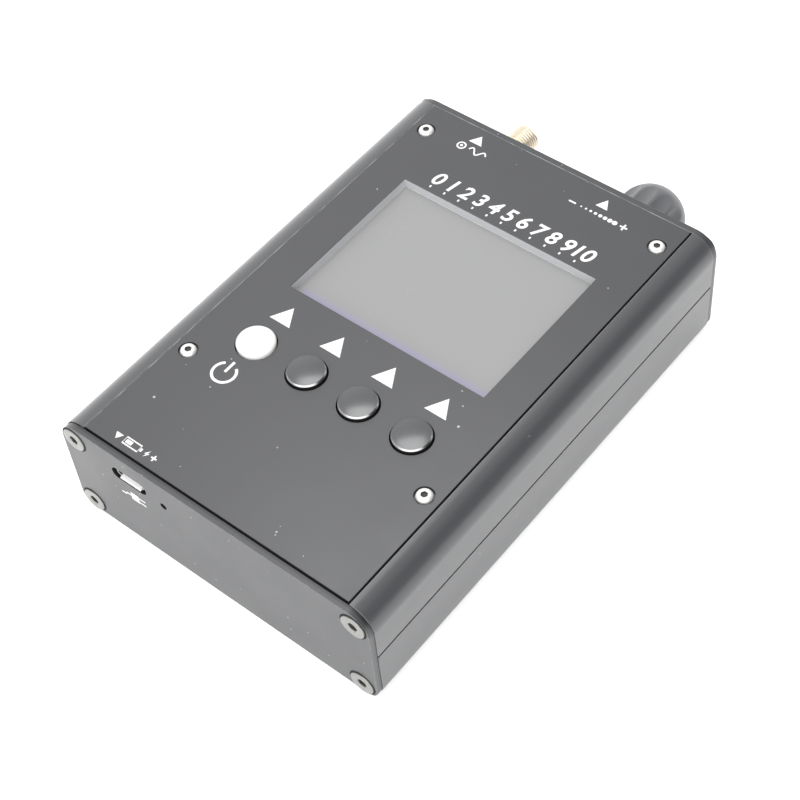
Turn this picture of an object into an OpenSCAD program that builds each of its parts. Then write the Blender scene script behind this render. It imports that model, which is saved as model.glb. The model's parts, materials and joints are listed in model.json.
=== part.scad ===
// Handheld antenna analyzer: split aluminium case, sunk face plate, display, four keys,
// rotary encoder with push, coaxial test jack and charging socket.
// Frame: X across the case, Y from the charging end to the jack end, Z up from the case bottom.
// The origin is the centre of the flat bottom.

/* [Case] */
// Width of both case shells
case_w = 80; // [78:0.5:86]
// Height of the closed case, bottom to rail top
case_h = 27.8; // [27.4:0.1:31]
// Length of both case shells, without the end plates
shell_len = 112.4; // [112:0.2:124]
// Thickness of the side walls
wall_t = 2; // [1.8:0.1:2.3]
// Thickness of the lower shell's bottom
bottom_t = 2; // [1.6:0.1:2.5]
// Thickness of the upper shell's deck under the face plate
deck_t = 1.6; // [1.3:0.1:1.8]
// Radius of the upper long edges
top_r = 5.4; // [5.2:0.1:6]
// Radius of the lower long edges
foot_r = 3; // [2.5:0.1:3.4]
// Height of the seam between the shells
seam_z = 14.4; // [12:0.1:16]
// Visible width of that seam
seam_gap = 0.5; // [0.3:0.05:0.6]
// Thickness of the lower shell's locating lip
lip_t = 0.9; // [0.7:0.05:1]
// Height of the lip above the seam
lip_h = 1; // [0.6:0.1:1.6]
// Side clearance of the lip in its groove
lip_clear = 0.1; // [0.05:0.05:0.2]

/* [Screw ports] */
// Distance of the screw ports from the case's side faces
port_inset = 3.8; // [3.6:0.05:4]
// Distance of the upper ports below the case top
port_drop = 4; // [3.9:0.05:4.3]
// Height of the lower ports above the case bottom
port_rise = 3.2; // [3.15:0.05:3.6]
// Outer radius of a screw port
port_r = 2.5; // [2.3:0.05:2.7]
// Width of the open slot in a port
port_slot_w = 1.2; // [0.8:0.1:1.4]

/* [Face plate] */
// Width of each rail beside the face plate
rail_w = 5.7; // [5.6:0.05:5.9]
// Thickness of the face plate
face_t = 2; // [1.8:0.1:2.3]
// Gap between the face plate and each rail
face_gap = 0.25; // [0.2:0.05:0.35]
// How far the face plate's recess lies to the right of the plate's middle
recess_shift = 0.2; // [0:0.02:0.2]
// Gap between the face plate and the charging end plate
face_end_gap = 0.45; // [0.2:0.05:0.5]
// Gap between the face plate and the jack end plate
face_far_gap = 0.05; // [0.05:0.05:0.2]
// Length of the display window
window_h = 38; // [36:0.1:38.5]
// Window centre along the case
window_y = 15; // [13:0.1:16]
// Bevel around the window
window_bevel = 0.1; // [0.05:0.05:0.5]

/* [Keys] */
// Number of keys in the row
key_count = 4; // [4:1:4]
// Distance between key centres
key_pitch = 13.5; // [13:0.1:14.5]
// Centre of the key row across the case
key_row_x = -0.2; // [-1.5:0.1:1.5]
// Centre of the key row along the case
key_y = -19.85; // [-21.5:0.05:-18]
// Diameter of a key cap
key_d = 8.4; // [8:0.1:9]
// Gap between a key cap and its hole in the face plate
key_gap = 0.26; // [0.2:0.02:0.4]
// Extra radius of the deck's key holes
deck_hole_extra = 0.3; // [0.1:0.1:0.6]
// Height of the cap's rim above the face
key_rim_h = 0.9; // [0.6:0.05:1]
// Rise of the dome above the rim
key_dome = 0.25; // [0.15:0.05:0.5]
// Rounding of the cap's rim
key_edge_r = 0.3; // [0.2:0.05:0.4]
// Travel of a key
key_travel = 0.3; // [0.2:0.05:0.4]

/* [Key switches] */
// Side of the square switch base
switch_w = 12; // [11.5:0.1:12.4]
// Height of the switch base with its cover
switch_h = 3.5; // [3.2:0.1:3.6]
// Thickness of the switch cover
switch_cover_t = 0.3; // [0.2:0.05:0.4]
// Height of the plunger's top above the board
plunger_top = 7.3; // [7:0.1:7.5]
// Side of the square plunger
plunger_w = 3.8; // [3.4:0.1:4.2]
// Clearance of the plunger in the switch base
plunger_clear = 0.05; // [0.03:0.01:0.1]
// Radius of the opening in the switch cover
switch_mouth_r = 3.3; // [3.1:0.1:3.6]

/* [Main board] */
// Gap between the board and each side wall
board_side_gap = 1; // [0.6:0.1:1.6]
// Thickness of the main board
board_t = 1.6; // [1.2:0.1:1.8]
// Height of the space between the board and the deck
deck_space = 3.9; // [3.8:0.1:4.1]
// Gap between the board and each end plate
board_end_gap = 0.2; // [0.1:0.05:0.4]

/* [Face screws] */
// Distance of the face screws from the face plate's side edges
face_screw_inset = 3.45; // [3.2:0.05:3.6]
// Distance of the near face screws from the shell's charging end
face_screw_near = 26.9; // [26:0.1:28]
// Distance of the far face screws from the shell's jack end
face_screw_far = 7.5; // [7:0.1:8.5]
// Thread radius of the small screws
small_r = 1; // [0.9:0.05:1.1]
// Clearance of a small screw in a plain hole
small_clear = 0.1; // [0.05:0.05:0.2]
// Head radius of a face screw
face_head_r = 1.75; // [1.7:0.05:1.9]
// Head height of a face screw
face_head_h = 1.15; // [1:0.05:1.2]
// Depth of the counterbore for a face screw
face_bore_h = 0.7; // [0.6:0.05:1]
// Gap around a face screw's head
face_bore_gap = 0.38; // [0.3:0.02:0.5]
// Width across the flats of the face screw's socket
face_hex = 1.4; // [1.3:0.05:1.5]
// Length of a face screw under its head
face_screw_len = 4.4; // [4.1:0.1:4.6]
// Width across the flats of a board standoff
standoff_hex = 4; // [3.6:0.1:4.4]
// Length of a board screw under its head
board_screw_len = 3; // [2.6:0.1:3]
// Head height of a board screw
board_head_h = 1.2; // [1:0.1:1.4]
// Clearance of a thread in its tapped hole
thread_clear = 0.03; // [0.02:0.01:0.06]

/* [End plates] */
// Thickness of both end plates
plate_t = 1.5; // [1.5:0.1:2]
// How far the end plates lie inside the shell's outline
plate_inset = 0.15; // [0.1:0.05:0.2]
// Thread radius of the end screws
end_r = 1.5; // [1.4:0.05:1.55]
// Head radius of the end screws
end_head_r = 2.8; // [2.7:0.05:2.85]
// Height of the head's straight rim
end_rim_h = 0.25; // [0.15:0.05:0.3]
// How far the heads stand out of the plate
end_proud = 0.3; // [0.2:0.05:0.4]
// Gap around the head's rim in the plate
end_rim_gap = 0.12; // [0.08:0.02:0.15]
// Depth of the straight recess around the head
end_relief = 0.25; // [0.15:0.05:0.3]
// Clearance between the head's cone and its seat
end_seat_clear = 0.02; // [0.01:0.01:0.04]
// Overall length of an end screw
end_screw_len = 8; // [7:0.5:12]
// Width across the flats of the end screw's socket
end_hex = 2; // [1.8:0.1:2.2]
// Depth of that socket
end_hex_depth = 1.1; // [0.9:0.1:1.3]

/* [Charging socket] */
// Socket centre across the case
usb_x = -21.5; // [-24:0.1:-18]
// Outer width of the socket shell
usb_w = 7.6; // [7.4:0.1:7.8]
// Outer height of the socket shell
usb_h = 2.8; // [2.6:0.1:2.9]
// Depth of the socket shell
usb_len = 5; // [4.6:0.1:5.6]
// Sheet thickness of the socket shell
usb_sheet = 0.25; // [0.2:0.05:0.3]
// How far the socket stays behind the plate's outer face
usb_setback = 0.5; // [0.3:0.1:0.9]
// Width of the slot in the end plate
usb_slot_w = 9.4; // [9:0.1:10]
// Height of the slot in the end plate
usb_slot_h = 3.3; // [3.2:0.1:3.6]
// Charge light and its hole across the case
led_x = -12.3; // [-13:0.1:-10]
// Diameter of the charge light's hole
led_hole_d = 1.7; // [1.4:0.1:2]
// Height of the charge light
led_h = 0.9; // [0.7:0.1:1.1]

/* [Test jack] */
// Jack axis across the case
jack_x = -19.4; // [-21:0.1:-18]
// Jack axis below the board's underside
jack_drop = 4.2; // [4:0.1:4.6]
// Thread radius of the jack
jack_r = 3.175; // [3.1:0.025:3.25]
// How far the jack stands out of the end plate
jack_out = 13.6; // [13:0.1:14]
// Width of the jack's block
jack_block_w = 6.6; // [6.4:0.1:7.2]
// Depth of the jack's block
jack_block_len = 8.2; // [7.5:0.1:9]
// Radius of the mating bore at the jack's mouth
jack_mouth_r = 2.3; // [2.25:0.05:2.4]
// Depth of that bore
jack_mouth_len = 1.9; // [1.8:0.1:2]
// Radius of the insulator
jack_core_r = 2.05; // [1.9:0.05:2.1]
// Radius of the centre contact
jack_pin_r = 0.635; // [0.6:0.005:0.7]
// Width across the flats of the jack's nut
jack_nut_hex = 8; // [7.8:0.1:8.4]
// Thickness of the jack's nut
jack_nut_t = 2; // [1.6:0.1:2.4]
// Thickness of the jack's washer
jack_washer_t = 0.4; // [0.3:0.05:0.6]
// Outer radius of the jack's washer
jack_washer_r = 4.6; // [4.4:0.1:5]
// Clearance of the jack in the end plate
jack_hole_clear = 0.1; // [0.05:0.05:0.3]
// Gap between the jack's nut and its free thread
jack_neck = 0.3; // [0.2:0.05:0.4]
// How far the thread inside the nut is drawn below its crest, where the two threads mesh
jack_mesh = 0.2; // [0.2:0.05:0.3]

/* [Rotary encoder] */
// Encoder axis across the case
knob_x = 16.9; // [16:0.1:17.5]
// Encoder axis below the board's underside
knob_drop = 6.8; // [6.6:0.1:7.2]
// Width of the encoder housing
coder_w = 11.7; // [11.5:0.1:12.5]
// Depth of the encoder housing
coder_len = 6.5; // [6.2:0.1:7]
// Housing height below its axis
coder_low = 5.9; // [5.6:0.1:6.2]
// Thread radius of the encoder's bushing
bush_r = 3.5; // [3.45:0.05:3.6]
// Length of the bushing
bush_len = 7; // [6.8:0.1:7.4]
// Clearance of the bushing in the end plate
bush_hole_clear = 0.1; // [0.05:0.05:0.3]
// Radius of the encoder shaft
shaft_r = 3; // [2.9:0.05:3.1]
// Running clearance of the shaft
shaft_clear = 0.04; // [0.02:0.01:0.08]
// Length of the shaft in front of the housing
shaft_len = 15.8; // [15.4:0.1:16.2]
// Depth of the flat on the shaft
shaft_flat = 1.5; // [1:0.1:1.6]
// Travel of the encoder's push switch
push_travel = 0.5; // [0.3:0.05:0.6]
// Radius of the push pin behind the shaft
push_pin_r = 1.5; // [1.3:0.1:1.8]
// Thickness of the encoder's rear cover
rear_cover_t = 2.3; // [2.2:0.1:2.6]
// Width across the flats of the encoder's nut
bush_nut_hex = 10; // [9.8:0.1:10.2]
// Thickness of the encoder's nut
bush_nut_t = 2; // [1.8:0.1:2.2]
// Thickness of the encoder's washer
bush_washer_t = 0.5; // [0.4:0.05:0.6]
// Outer radius of the encoder's washer
bush_washer_r = 5.5; // [5.2:0.1:5.7]
// Diameter of the knob
knob_d = 16.2; // [15.6:0.1:16.6]
// Gap between the knob and the end plate
knob_gap = 1.2; // [1.1:0.1:1.5]
// Thickness of the knob's closed end
knob_cap_t = 2.4; // [2:0.1:2.8]
// Radius of the hollow around the nut
knob_hollow_r = 6.2; // [6.1:0.05:6.3]
// Width of the knob's dome around its flat front
knob_dome_w = 6; // [5:0.1:6.5]
// Length of that dome along the axis
knob_dome_len = 7.9; // [7:0.1:8.4]
// Number of flutes around the knob
flute_count = 12; // [10:1:12]
// Radius of a flute
flute_r = 4; // [3.4:0.1:4.4]
// Depth of a flute
flute_depth = 0.65; // [0.5:0.05:0.7]

/* [Display] */
// Thickness of the gasket over the display
gasket_t = 0.4; // [0.3:0.05:0.6]
// Distance of the gasket outside the window's sides
gasket_set = 0.1; // [0.05:0.05:0.3]
// Distance of the gasket inside the display module's ends
gasket_end_set = 0.25; // [0.1:0.05:0.3]
// Width of the gasket's band
gasket_band = 2; // [1.8:0.1:2.1]
// Space between the left screw ports and the display module, for its tail
tail_space = 1.7; // [1.6:0.1:2]
// Space between the display module and the right screw ports
module_space = 6.1; // [5.8:0.1:6.5]
// Length of the display module
module_h = 42.7; // [42.4:0.1:43]
// Width of the display module's edge covered on the tail side
tail_cover = 7.15; // [7:0.05:7.6]
// Width of the display module's edge covered on the other side
side_cover = 2.15; // [2.15:0.05:2.4]
// Thickness of the front pane with its film
pane_t = 0.7; // [0.6:0.05:0.8]
// Thickness of the rear pane
rear_pane_t = 0.6; // [0.5:0.05:0.7]
// Width of the rear pane's free ledge
ledge_w = 4; // [3.5:0.1:4.5]
// Thickness of the backlight
backlight_t = 1.4; // [1.2:0.05:1.5]
// Thickness of the carrier's shelf
shelf_t = 1; // [0.8:0.05:1.1]
// Width of the carrier's shelf
shelf_w = 5; // [4:0.1:6]
// Wall of the carrier's rim
rim_t = 0.6; // [0.5:0.05:0.65]
// Clearance of the module in the carrier
rim_clear = 0.15; // [0.1:0.05:0.2]
// Side of a carrier leg
leg_w = 4; // [3:0.1:5]
// Width of the display's flat tail
tail_w = 27; // [24:0.5:28]
// Thickness of the tail
tail_t = 0.15; // [0.12:0.01:0.2]
// Height of the tail's connector
tail_socket_h = 1.1; // [1:0.05:1.2]

/* [Battery] */
// Width of the battery cell
cell_w = 34; // [30:0.5:40]
// Length of the battery cell
cell_len = 50; // [40:0.5:52]
// Space between the battery cell and the board
cell_room = 7.1; // [7:0.1:8.5]
// Centre of the cell along the case
cell_y = -21; // [-24:0.5:-20]
// Thickness of the adhesive pad under the cell
pad_t = 0.6; // [0.4:0.1:1]
// Radius of a battery lead
lead_r = 0.6; // [0.5:0.05:0.75]
// Distance between the two leads
lead_pitch = 2; // [1.8:0.1:2.2]
// Bend radius of a lead at its centre line
lead_bend = 3; // [2.5:0.1:3.5]
// Straight run of a lead from the cell
lead_run = 5; // [4:0.1:7]

/* [Hidden] */
$fn = 48;
eps = 0.01;

// Heights
deck_top = case_h - face_t;
deck_z = deck_top - deck_t;
board_top = deck_z - deck_space;
board_z = board_top - board_t;
cavity_w = case_w - 2 * wall_t;
board_w = cavity_w - 2 * board_side_gap;
face_w = case_w - 2 * (rail_w + face_gap);
port_x = case_w / 2 - port_inset;
port_top_z = case_h - port_drop;
port_bore_r = end_r + thread_clear;

// Ends
shell_y = shell_len / 2;
plate_y = shell_y + plate_t;
board_len = shell_len - 2 * board_end_gap;

// Face screw pattern and key row
face_screw_x = face_w / 2 - face_screw_inset;
face_holes = [for (sx = [-1, 1], y = [face_screw_near - shell_y, shell_y - face_screw_far])
    [sx * face_screw_x, y]];
key_hole_r = key_d / 2 + key_gap;
function key_x(i) = key_row_x + (i - (key_count - 1) / 2) * key_pitch;
plunger_z = board_top + plunger_top;
key_bottom = board_top + switch_h + 2 * key_travel;
switch_floor = 1;
dome_room = 0.1;
plunger_bottom = board_top + switch_floor + dome_room + key_travel;

// Display stack, top down
pane_top = deck_top - gasket_t;
rear_pane_top = pane_top - pane_t;
rear_pane_z = rear_pane_top - rear_pane_t;
backlight_z = rear_pane_z - backlight_t;
shelf_z = backlight_z - shelf_t;
module_x = port_r - port_x + tail_space;
module_w = 2 * (port_x - port_r) - tail_space - module_space;
module_mid_x = module_x + module_w / 2;
window_w = module_w - tail_cover - side_cover;
window_x = module_x + tail_cover + window_w / 2;
rim_drop = 0.2;
rim_top = deck_z - rim_drop;

// Tail route in the XZ plane
tail_slack = 0.4;
tail_room = 0.2;
tail_bond = 0.4;
tail_start = 0.1;
tail_reach = 9.3;
tail_drop = 2.5;
tail_grip = 2;
tail_bend = (rear_pane_top - backlight_z) / 2 + tail_slack;
tail_mouth_x = module_x + tail_reach;
tail_mouth_z = board_top + (tail_socket_h + tail_t) / 2;
tail_socket_w = 4.6;
tail_socket_edge = 1.5;
tail_slot_t = 0.3;
tail_slot_edge = 0.3;
tail_slot_depth = 2.3;

// Axes at the jack end
jack_z = board_z - jack_drop;
jack_tip = plate_y + jack_out;
jack_free_y = plate_y + jack_washer_t + jack_nut_t + jack_neck;
jack_mesh_r = jack_r - jack_mesh;
knob_z = board_z - knob_drop;
coder_y = shell_y - coder_len;
shaft_tip = shell_y + shaft_len;
shaft_room = 0.2;
shaft_tail = coder_y + push_travel + shaft_room;
push_gap = 0.05;
rear_floor_t = 0.6;
pin_room = 0.1;
pin_y = coder_y - rear_cover_t + rear_floor_t + push_travel + pin_room;
knob_y = plate_y + knob_gap;
knob_tip = shaft_tip + knob_cap_t;
knob_room = 0.5;
knob_hollow_y = shell_y + bush_len + push_travel + knob_room;
flat_gap = 0.2;
flute_turn = -5;

// Test jack
jack_wall = 2;
jack_core_set = 4;
jack_contact_set = 0.6;
jack_contact_bend = 0.2;
jack_socket_r = 0.47;
jack_socket_len = 3;

// Charging end
usb_y = -plate_y + usb_setback;
usb_z = board_top + usb_h / 2;
usb_cut = 0.9;
usb_stop_t = 0.9;
usb_tongue_t = 0.6;
usb_tongue_set = 0.6;
usb_tongue_w = 3.8;
led_z = board_top + led_h / 2;
led_w = 1.6;
led_len = 1.1;

// Battery
pad_z = bottom_t;
pad_margin = 3;
cell_z = pad_z + pad_t;
cell_t = board_z - cell_z - cell_room;
cell_edge_r = 2;
cell_end = cell_y + cell_len / 2;
guard_w = 24;
guard_t = 1;
guard_h = 4;
guard_y = cell_end + guard_t;
lead_z = cell_z + cell_t / 2;
plug_y = guard_y + lead_run + lead_bend;
plug_w = 5.8;
plug_d = 4.4;
plug_h = 5.7;
header_wall = 0.7;
header_h = 5.5;
header_floor = 0.8;
header_clear = 0.1;
plug_z = board_z - header_floor - plug_h;

// Chips on the board's underside
can_w = 24;
can_d = 18;
can_h = 3;
can_sheet = 0.3;
can_gap = 3;
can_x = jack_x - 1;
can_y = shell_y - jack_block_len - can_gap - can_d / 2;
radio_w = 5;
radio_h = 0.9;
brain_x = 8;
brain_y = 30;
brain_w = 10;
brain_h = 1.4;
crystal_gap = 3.4;
crystal_w = 3.2;
crystal_d = 5;
crystal_h = 1;
charger_w = 5;
charger_d = 4;
charger_h = 1.5;
charger_gap = 7.2;
charger_y = usb_len + charger_gap - shell_y;
coil_w = 5;
coil_h = 3;
coil_gap = 6;
chip_w = 1;
chip_d = 1.6;
chip_h = 0.6;
chip_pitch = 2.2;
chip_gap = 3;
chip_count = 5;

// Extrude an XZ outline along Y from y0 over len
module along_y(y0, len) {
    translate([0, y0 + len, 0])
        rotate([90, 0, 0])
            linear_extrude(len)
                children();
}

// Cylinder along Y from y0 over len
module rod_y(x, z, y0, len, r, sides = 48) {
    translate([x, y0 + len, z])
        rotate([90, 0, 0])
            cylinder(h = len, r = r, $fn = sides);
}

// Hexagonal prism along +Z, measured across its flats
module hex_prism(flats, h) {
    cylinder(h = h, r = flats / sqrt(3), $fn = 6);
}

// Box centred on X and Y, standing on z
module slab(x, y, z, w, d, h) {
    translate([x - w / 2, y - d / 2, z])
        cube([w, d, h]);
}

// Closed outline of the case, drawn inside by inset
module case_outline(inset) {
    half = case_w / 2 - inset;
    low = inset;
    high = case_h - inset;
    rt = top_r - inset;
    rb = foot_r - inset;
    for (s = [-1, 1]) {
        translate([s * (half - rt), high - rt])
            circle(r = rt);
        translate([s * (half - rb), low + rb])
            circle(r = rb);
    }
    translate([-(half - rt), low])
        square([2 * (half - rt), high - low]);
    translate([-(half - rb), low])
        square([2 * (half - rb), high - rt - low]);
    translate([-half, low + rb])
        square([2 * half, high - rt - low - rb]);
}

// Solid ring of a screw port, still without its bore
module port_ring(z) {
    for (s = [-1, 1])
        translate([s * port_x, z])
            circle(r = port_r);
}

// Bore of a screw port with its open slot towards the middle of the case
module port_bore(z, slope) {
    for (s = [-1, 1])
        translate([s * port_x, z]) {
            circle(r = port_bore_r);
            rotate(s > 0 ? 180 + slope : -slope)
                translate([0, -port_slot_w / 2])
                    square([port_r + 1, port_slot_w]);
        }
}

module lower_shell() {
    color("#2a2b2d")
    along_y(-shell_y, shell_len)
        difference() {
            union() {
                difference() {
                    intersection() {
                        case_outline(0);
                        translate([-case_w / 2, 0])
                            square([case_w, seam_z - seam_gap / 2]);
                    }
                    translate([-cavity_w / 2, bottom_t])
                        square([cavity_w, case_h]);
                }
                port_ring(port_rise);
                for (s = [-1, 1])
                    translate([s * (cavity_w / 2 + lip_t / 2) - lip_t / 2, bottom_t])
                        square([lip_t, seam_z + lip_h - bottom_t]);
            }
            port_bore(port_rise, -45);
        }
}

module upper_shell() {
    lip_room = lip_t + lip_clear;
    color("#2a2b2d")
    difference() {
        along_y(-shell_y, shell_len)
            difference() {
                union() {
                    difference() {
                        intersection() {
                            case_outline(0);
                            translate([-case_w / 2, seam_z + seam_gap / 2])
                                square([case_w, case_h]);
                        }
                        translate([-cavity_w / 2, 0])
                            square([cavity_w, deck_z]);
                        for (s = [-1, 1])
                            translate([s * (cavity_w + lip_room) / 2 - lip_room / 2, 0])
                                square([lip_room, seam_z + lip_h]);
                    }
                    port_ring(port_top_z);
                }
                port_bore(port_top_z, 45);
                translate([recess_shift - face_w / 2 - face_gap, deck_top])
                    square([face_w + 2 * face_gap, face_t + 1]);
            }
        slab(module_mid_x, window_y, deck_z - 1,
            module_w + 4 * rim_clear, module_h + 4 * rim_clear, deck_t + 2);
        slab(module_x, window_y, deck_z - 1, 2 * (tail_bend + tail_room), tail_w + 1, deck_t + 2);
        for (i = [0:key_count - 1])
            translate([key_x(i), key_y, deck_z - 1])
                cylinder(h = deck_t + 2, r = key_hole_r + deck_hole_extra);
        for (p = face_holes)
            translate([p[0], p[1], deck_z - 1])
                cylinder(h = deck_t + 2, r = small_r + small_clear);
    }
}

module face_plate() {
    color("#35363a")
    difference() {
        slab(0, (face_end_gap - face_far_gap) / 2, deck_top,
            face_w, shell_len - face_end_gap - face_far_gap, face_t);
        slab(window_x, window_y, deck_top - 1, window_w, window_h, face_t + 2);
        hull() {
            slab(window_x, window_y, case_h - window_bevel, window_w, window_h, eps);
            slab(window_x, window_y, case_h, window_w + 2 * window_bevel,
                window_h + 2 * window_bevel, eps);
        }
        for (i = [0:key_count - 1])
            translate([key_x(i), key_y, deck_top - 1])
                cylinder(h = face_t + 2, r = key_hole_r);
        for (p = face_holes)
            translate([p[0], p[1], 0]) {
                translate([0, 0, deck_top - 1])
                    cylinder(h = face_t + 2, r = small_r + small_clear);
                translate([0, 0, case_h - face_bore_h])
                    cylinder(h = face_bore_h + 1, r = face_head_r + face_bore_gap);
            }
    }
}

// Button-head screw, head seat at z = 0, thread down
module face_screw() {
    flat_r = face_head_r * 0.62;
    rim_h = face_head_h * 0.3;
    dome = [for (a = [0:15:90])
        [flat_r + (face_head_r - flat_r) * cos(a), rim_h + (face_head_h - rim_h) * sin(a)]];
    difference() {
        union() {
            rotate_extrude()
                polygon(concat([[0, 0], [face_head_r, 0]], dome, [[0, face_head_h]]));
            translate([0, 0, -face_screw_len])
                cylinder(h = face_screw_len + eps, r = small_r);
        }
        translate([0, 0, face_head_h * 0.45])
            hex_prism(face_hex, face_head_h);
    }
}

module face_screws() {
    color("#d8d8d6")
    for (p = face_holes)
        translate([p[0], p[1], case_h - face_bore_h])
            face_screw();
}

// Cutter for one countersunk hole: plate surface at z = 0, plate below
module sunk_hole() {
    shoulder = end_proud - end_rim_h;
    seat_r = end_head_r - (end_relief + shoulder) + end_seat_clear;
    through_r = end_r + small_clear;
    translate([0, 0, -end_relief])
        cylinder(h = end_relief + 1, r = end_head_r + end_rim_gap);
    translate([0, 0, -end_relief - (seat_r - through_r)])
        cylinder(h = seat_r - through_r + eps, r1 = through_r, r2 = seat_r);
    translate([0, 0, -plate_t - 1])
        cylinder(h = plate_t + 1, r = through_r);
}

// Countersunk socket screw: plate surface at z = 0, thread down
module end_screw() {
    cone_h = end_head_r - end_r;
    rim_z = end_proud - end_rim_h;
    edge = 0.1;
    difference() {
        union() {
            translate([0, 0, end_proud - edge])
                cylinder(h = edge, r1 = end_head_r, r2 = end_head_r - edge);
            translate([0, 0, rim_z])
                cylinder(h = end_rim_h - edge, r = end_head_r);
            translate([0, 0, rim_z - cone_h])
                cylinder(h = cone_h, r1 = end_r, r2 = end_head_r);
            translate([0, 0, end_proud - end_screw_len])
                cylinder(h = end_screw_len - end_proud + rim_z - cone_h, r = end_r);
        }
        translate([0, 0, end_proud - end_hex_depth])
            hex_prism(end_hex, end_hex_depth + 1);
    }
}

// Put a child at the four port places of one end, +Z outward; side is -1 or 1 along Y
module at_ports(side) {
    for (sx = [-1, 1], z = [port_rise, port_top_z])
        translate([sx * port_x, side * plate_y, z])
            rotate([-side * 90, 0, 0])
                children();
}

module end_screws() {
    color("#cfcfcc")
    for (side = [-1, 1])
        at_ports(side)
            end_screw();
}

module end_blank(side) {
    along_y(side < 0 ? -plate_y : shell_y, plate_t)
        case_outline(plate_inset);
}

module usb_end_plate() {
    slot_r = usb_slot_h / 2;
    slot_run = usb_slot_w / 2 - slot_r;
    color("#303134")
    difference() {
        end_blank(-1);
        at_ports(-1)
            sunk_hole();
        for (s = [-1, 1])
            rod_y(usb_x + s * slot_run, usb_z, -plate_y - 1, plate_t + 2, slot_r);
        translate([usb_x - slot_run, -plate_y - 1, usb_z - slot_r])
            cube([2 * slot_run, plate_t + 2, usb_slot_h]);
        rod_y(led_x, led_z, -plate_y - 1, plate_t + 2, led_hole_d / 2);
    }
}

module jack_end_plate() {
    color("#303134")
    difference() {
        end_blank(1);
        at_ports(1)
            sunk_hole();
        rod_y(jack_x, jack_z, shell_y - 1, plate_t + 2, jack_r + jack_hole_clear);
        rod_y(knob_x, knob_z, shell_y - 1, plate_t + 2, bush_r + bush_hole_clear);
    }
}

module main_board() {
    color("#1d5a37")
    difference() {
        slab(0, 0, board_z, board_w, board_len, board_t);
        for (p = face_holes)
            translate([p[0], p[1], board_z - 1])
                cylinder(h = board_t + 2, r = small_r + small_clear);
    }
}

module board_standoffs() {
    color("#c9b46a")
    for (p = face_holes)
        translate([p[0], p[1], board_top])
            difference() {
                hex_prism(standoff_hex, deck_space);
                translate([0, 0, -1])
                    cylinder(h = deck_space + 2, r = small_r + thread_clear);
            }
}

module board_screws() {
    color("#c4c4c2")
    for (p = face_holes)
        translate([p[0], p[1], board_z]) {
            translate([0, 0, -eps])
                cylinder(h = board_screw_len + eps, r = small_r);
            translate([0, 0, -board_head_h])
                difference() {
                    cylinder(h = board_head_h, r = face_head_r);
                    translate([0, 0, -1])
                        hex_prism(face_hex, 1 + board_head_h / 2);
                }
        }
}

module display_gasket() {
    inner_w = window_w + 2 * gasket_set;
    outer_h = module_h - 2 * gasket_end_set;
    inner_h = outer_h - 2 * gasket_band;
    color("#9a9b9d")
    difference() {
        slab(window_x, window_y, pane_top, inner_w + 2 * gasket_band, outer_h, gasket_t);
        slab(window_x, window_y, pane_top - 1, inner_w, inner_h, gasket_t + 2);
    }
}

module display_glass() {
    color("#9a9c9e")
    union() {
        slab(module_mid_x, window_y, rear_pane_z, module_w, module_h, rear_pane_t);
        slab(module_mid_x + ledge_w / 2, window_y, rear_pane_top,
            module_w - ledge_w, module_h, pane_t);
    }
}

module display_backlight() {
    color("#e8e8e4")
    slab(module_mid_x, window_y, backlight_z, module_w, module_h, backlight_t);
}

module display_carrier() {
    outer_w = module_w + 2 * (rim_clear + rim_t);
    outer_h = module_h + 2 * (rim_clear + rim_t);
    notch = tail_w + 2;
    color("#1c1c1e")
    difference() {
        union() {
            difference() {
                slab(module_mid_x, window_y, shelf_z, outer_w, outer_h, rim_top - shelf_z);
                slab(module_mid_x, window_y, backlight_z, module_w + 2 * rim_clear,
                    module_h + 2 * rim_clear, case_h);
            }
            for (sx = [-1, 1], sy = [-1, 1])
                slab(module_mid_x + sx * (outer_w - leg_w) / 2,
                    window_y + sy * (outer_h - leg_w) / 2,
                    board_top, leg_w, leg_w, shelf_z - board_top + eps);
        }
        slab(module_mid_x, window_y, board_top, module_w - 2 * shelf_w,
            module_h - 2 * shelf_w, case_h);
        slab(module_mid_x - outer_w / 2, window_y, shelf_z - 1, 2 * shelf_w + 2, notch, case_h);
    }
}

// Arc points, angles in degrees
function arc(cx, cz, r, a0, a1, steps) =
    [for (i = [0:steps]) let (a = a0 + (a1 - a0) * i / steps)
        [cx + r * cos(a), cz + r * sin(a)]];

module display_tail() {
    top_z = rear_pane_top + tail_t / 2;
    bend_r = tail_bend;
    low_z = top_z - 2 * bend_r;
    bond_x = module_x + ledge_w - tail_bond;
    drop_x = tail_mouth_x - tail_drop;
    end_x = tail_mouth_x + tail_grip;
    steps = 10;
    half = tail_t / 2;
    bend_x = module_x - tail_start;
    outer = concat([[bond_x, top_z + half]],
        arc(bend_x, top_z - bend_r, bend_r + half, 90, 270, steps),
        [[drop_x, low_z - half], [tail_mouth_x, tail_mouth_z - half],
            [end_x, tail_mouth_z - half]]);
    inner = concat([[end_x, tail_mouth_z + half], [tail_mouth_x, tail_mouth_z + half],
            [drop_x, low_z + half]],
        arc(bend_x, top_z - bend_r, bend_r - half, 270, 90, steps),
        [[bond_x, top_z - half]]);
    color("#b5762a")
    along_y(window_y - tail_w / 2, tail_w)
        polygon(concat(outer, inner));
}

module tail_connector() {
    color("#e6e0d0")
    difference() {
        slab(tail_mouth_x + tail_socket_w / 2, window_y, board_top,
            tail_socket_w, tail_w + 2 * tail_socket_edge, tail_socket_h);
        slab(tail_mouth_x + tail_slot_depth / 2 - eps, window_y, tail_mouth_z - tail_slot_t / 2,
            tail_slot_depth + 2 * eps, tail_w + 2 * tail_slot_edge, tail_slot_t);
    }
}

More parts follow.
